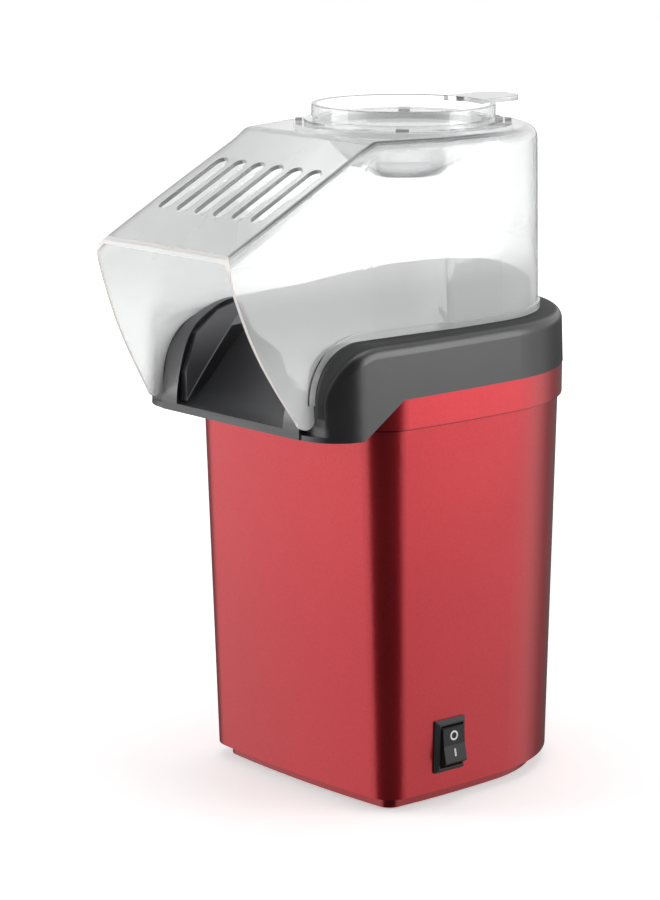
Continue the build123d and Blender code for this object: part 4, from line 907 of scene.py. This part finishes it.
def studio_world(studio):
    """White for the camera; gloss sees a white studio that is dark on the photographer's side."""
    world = bpy.data.worlds.new("studio")
    bpy.context.scene.world = world
    world.use_nodes = True
    sky = Graph(world.node_tree)
    output = sky.add("OutputWorld")
    background = sky.add("Background")
    sky.put(background.inputs["Color"], (*WHITE, 1.0))
    sky.put(output.inputs["Surface"], background.outputs["Background"])
    path = sky.add("LightPath").outputs
    way = sky.add("TexCoord").outputs["Generated"]
    height = sky.split(way)[2]
    flat = sky.vector("NORMALIZE", sky.vector("MULTIPLY", way, (1.0, 1.0, 0.0)))
    to_camera = (math.sin(studio.turn), -math.cos(studio.turn), 0.0)
    to_right = (math.cos(studio.turn), math.sin(studio.turn), 0.0)
    toward = sky.vector("DOT_PRODUCT", flat, to_camera, result="Value")
    across = sky.vector("DOT_PRODUCT", flat, to_right, result="Value")
    gap = sky.spread(toward, low=1.0, high=0.05, start=cosine(66), end=cosine(40))
    behind = sky.spread(toward, low=0.15, high=1.0, start=cosine(140), end=cosine(105))
    level = sky.spread(height, low=1.0, high=0.0, start=-0.02, end=0.06)
    lit = sky.spread(across, low=1.3, high=1.0, start=-0.9, end=-0.3)
    under = sky.spread(height, low=0.45, high=1.0, start=-0.45, end=-0.12)
    over = sky.spread(height, low=1.0, high=0.45, start=0.30, end=0.75)
    gloss = sky.all_of(gap, sky.blend(level, 1.0, behind), under, lit)
    seen = sky.blend(path["Is Glossy Ray"], studio.fill, gloss)
    through = sky.blend(path["Is Transmission Ray"], 1.0, over)
    sky.put(background.inputs["Strength"], sky.blend(sky.white_rays(path), seen, through))


def floor_disc(studio):
    """Build the floor: a wide disc that shows white to the camera and keeps the soft shadow."""
    mesh = bmesh.new()
    bmesh.ops.create_circle(mesh, cap_ends=True, segments=FLOOR_SIDES, radius=FLOOR_RADIUS)
    data = bpy.data.meshes.new("floor")
    mesh.to_mesh(data)
    mesh.free()
    floor = bpy.data.objects.new("floor", data)
    bpy.context.scene.collection.objects.link(floor)
    floor.visible_glossy = False
    finish = Finish("floor_paper")
    clouds = finish.noise(size=0.08, detail=3.0)
    finish.feed("Base Color", finish.shaded(clouds, studio.floor, low=0.985, high=1.0))
    finish.set(Roughness=0.9, Emission_Color=(*WHITE, 1.0))
    distance = finish.vector("LENGTH", finish.place, result="Value")
    glow = finish.spread(distance, low=0.42, high=1.0, start=0.35, end=1.1)
    white = finish.white_rays(finish.add("LightPath").outputs)
    finish.feed("Emission Strength", finish.math("MULTIPLY", white, glow))
    data.materials.append(finish.material)


def softbox(name, place, width, height, power):
    """Hang a soft rectangular light at a place, facing the middle of the machine."""
    light = bpy.data.lights.new(name, "AREA")
    light.shape = "RECTANGLE"
    light.size = width
    light.size_y = height
    light.energy = power
    lamp = bpy.data.objects.new(name, light)
    lamp.location = place
    lamp.rotation_euler = (Vector(STUDIO_MIDDLE) - Vector(place)).to_track_quat("-Z", "Y").to_euler()
    lamp.visible_camera = False
    bpy.context.scene.collection.objects.link(lamp)


class POPPER_OT_studio(bpy.types.Operator):
    """Set up the floor, the lights and the camera"""

    bl_idname = "popper.studio"
    bl_label = "Studio"

    def execute(self, context):
        studio = context.scene.popper.studio
        context.scene.view_settings.view_transform = "Standard"
        studio_world(studio)
        floor_disc(studio)
        for side, (place, width, height) in SOFTBOXES.items():
            softbox(side + "_softbox", place, width, height, getattr(studio, side))
        data = bpy.data.cameras.new("camera")
        data.lens = studio.lens
        data.sensor_width = SENSOR_MM
        data.clip_start = CLIP_START
        camera = bpy.data.objects.new("camera", data)
        camera.location = studio.camera
        camera.rotation_euler = (studio.tilt, 0.0, studio.turn)
        context.scene.collection.objects.link(camera)
        context.scene.camera = camera
        return {"FINISHED"}


STEPS = (
    POPPER_OT_red_shell,
    POPPER_OT_black_deck,
    POPPER_OT_clear_parts,
    POPPER_OT_switch,
    POPPER_OT_air_path,
    POPPER_OT_motor,
    POPPER_OT_feet,
    POPPER_OT_studio,
)


class POPPER_PT_panel(bpy.types.Panel):
    """Steps of dressing the popcorn maker"""

    bl_idname = "POPPER_PT_panel"
    bl_label = "Popcorn maker"
    bl_space_type = "VIEW_3D"
    bl_region_type = "UI"
    bl_category = "Popcorn maker"

    def draw(self, context):
        for step in STEPS:
            self.layout.operator(step.bl_idname)


SETTINGS = (LacquerSettings, BlackSettings, ClearSettings, MarkSettings, StudioSettings, PopperSettings)
CLASSES = (*SETTINGS, *STEPS, POPPER_PT_panel)


def register():
    """Register the settings, the operators and the panel."""
    for item in CLASSES:
        bpy.utils.register_class(item)
    bpy.types.Scene.popper = PointerProperty(type=PopperSettings)


def unregister():
    """Remove what register added."""
    del bpy.types.Scene.popper
    for item in reversed(CLASSES):
        bpy.utils.unregister_class(item)


def main():
    """Dress the machine step by step."""
    register()
    for step in STEPS:
        group, action = step.bl_idname.split(".")
        getattr(getattr(bpy.ops, group), action)()


if __name__ == "__main__":
    main()
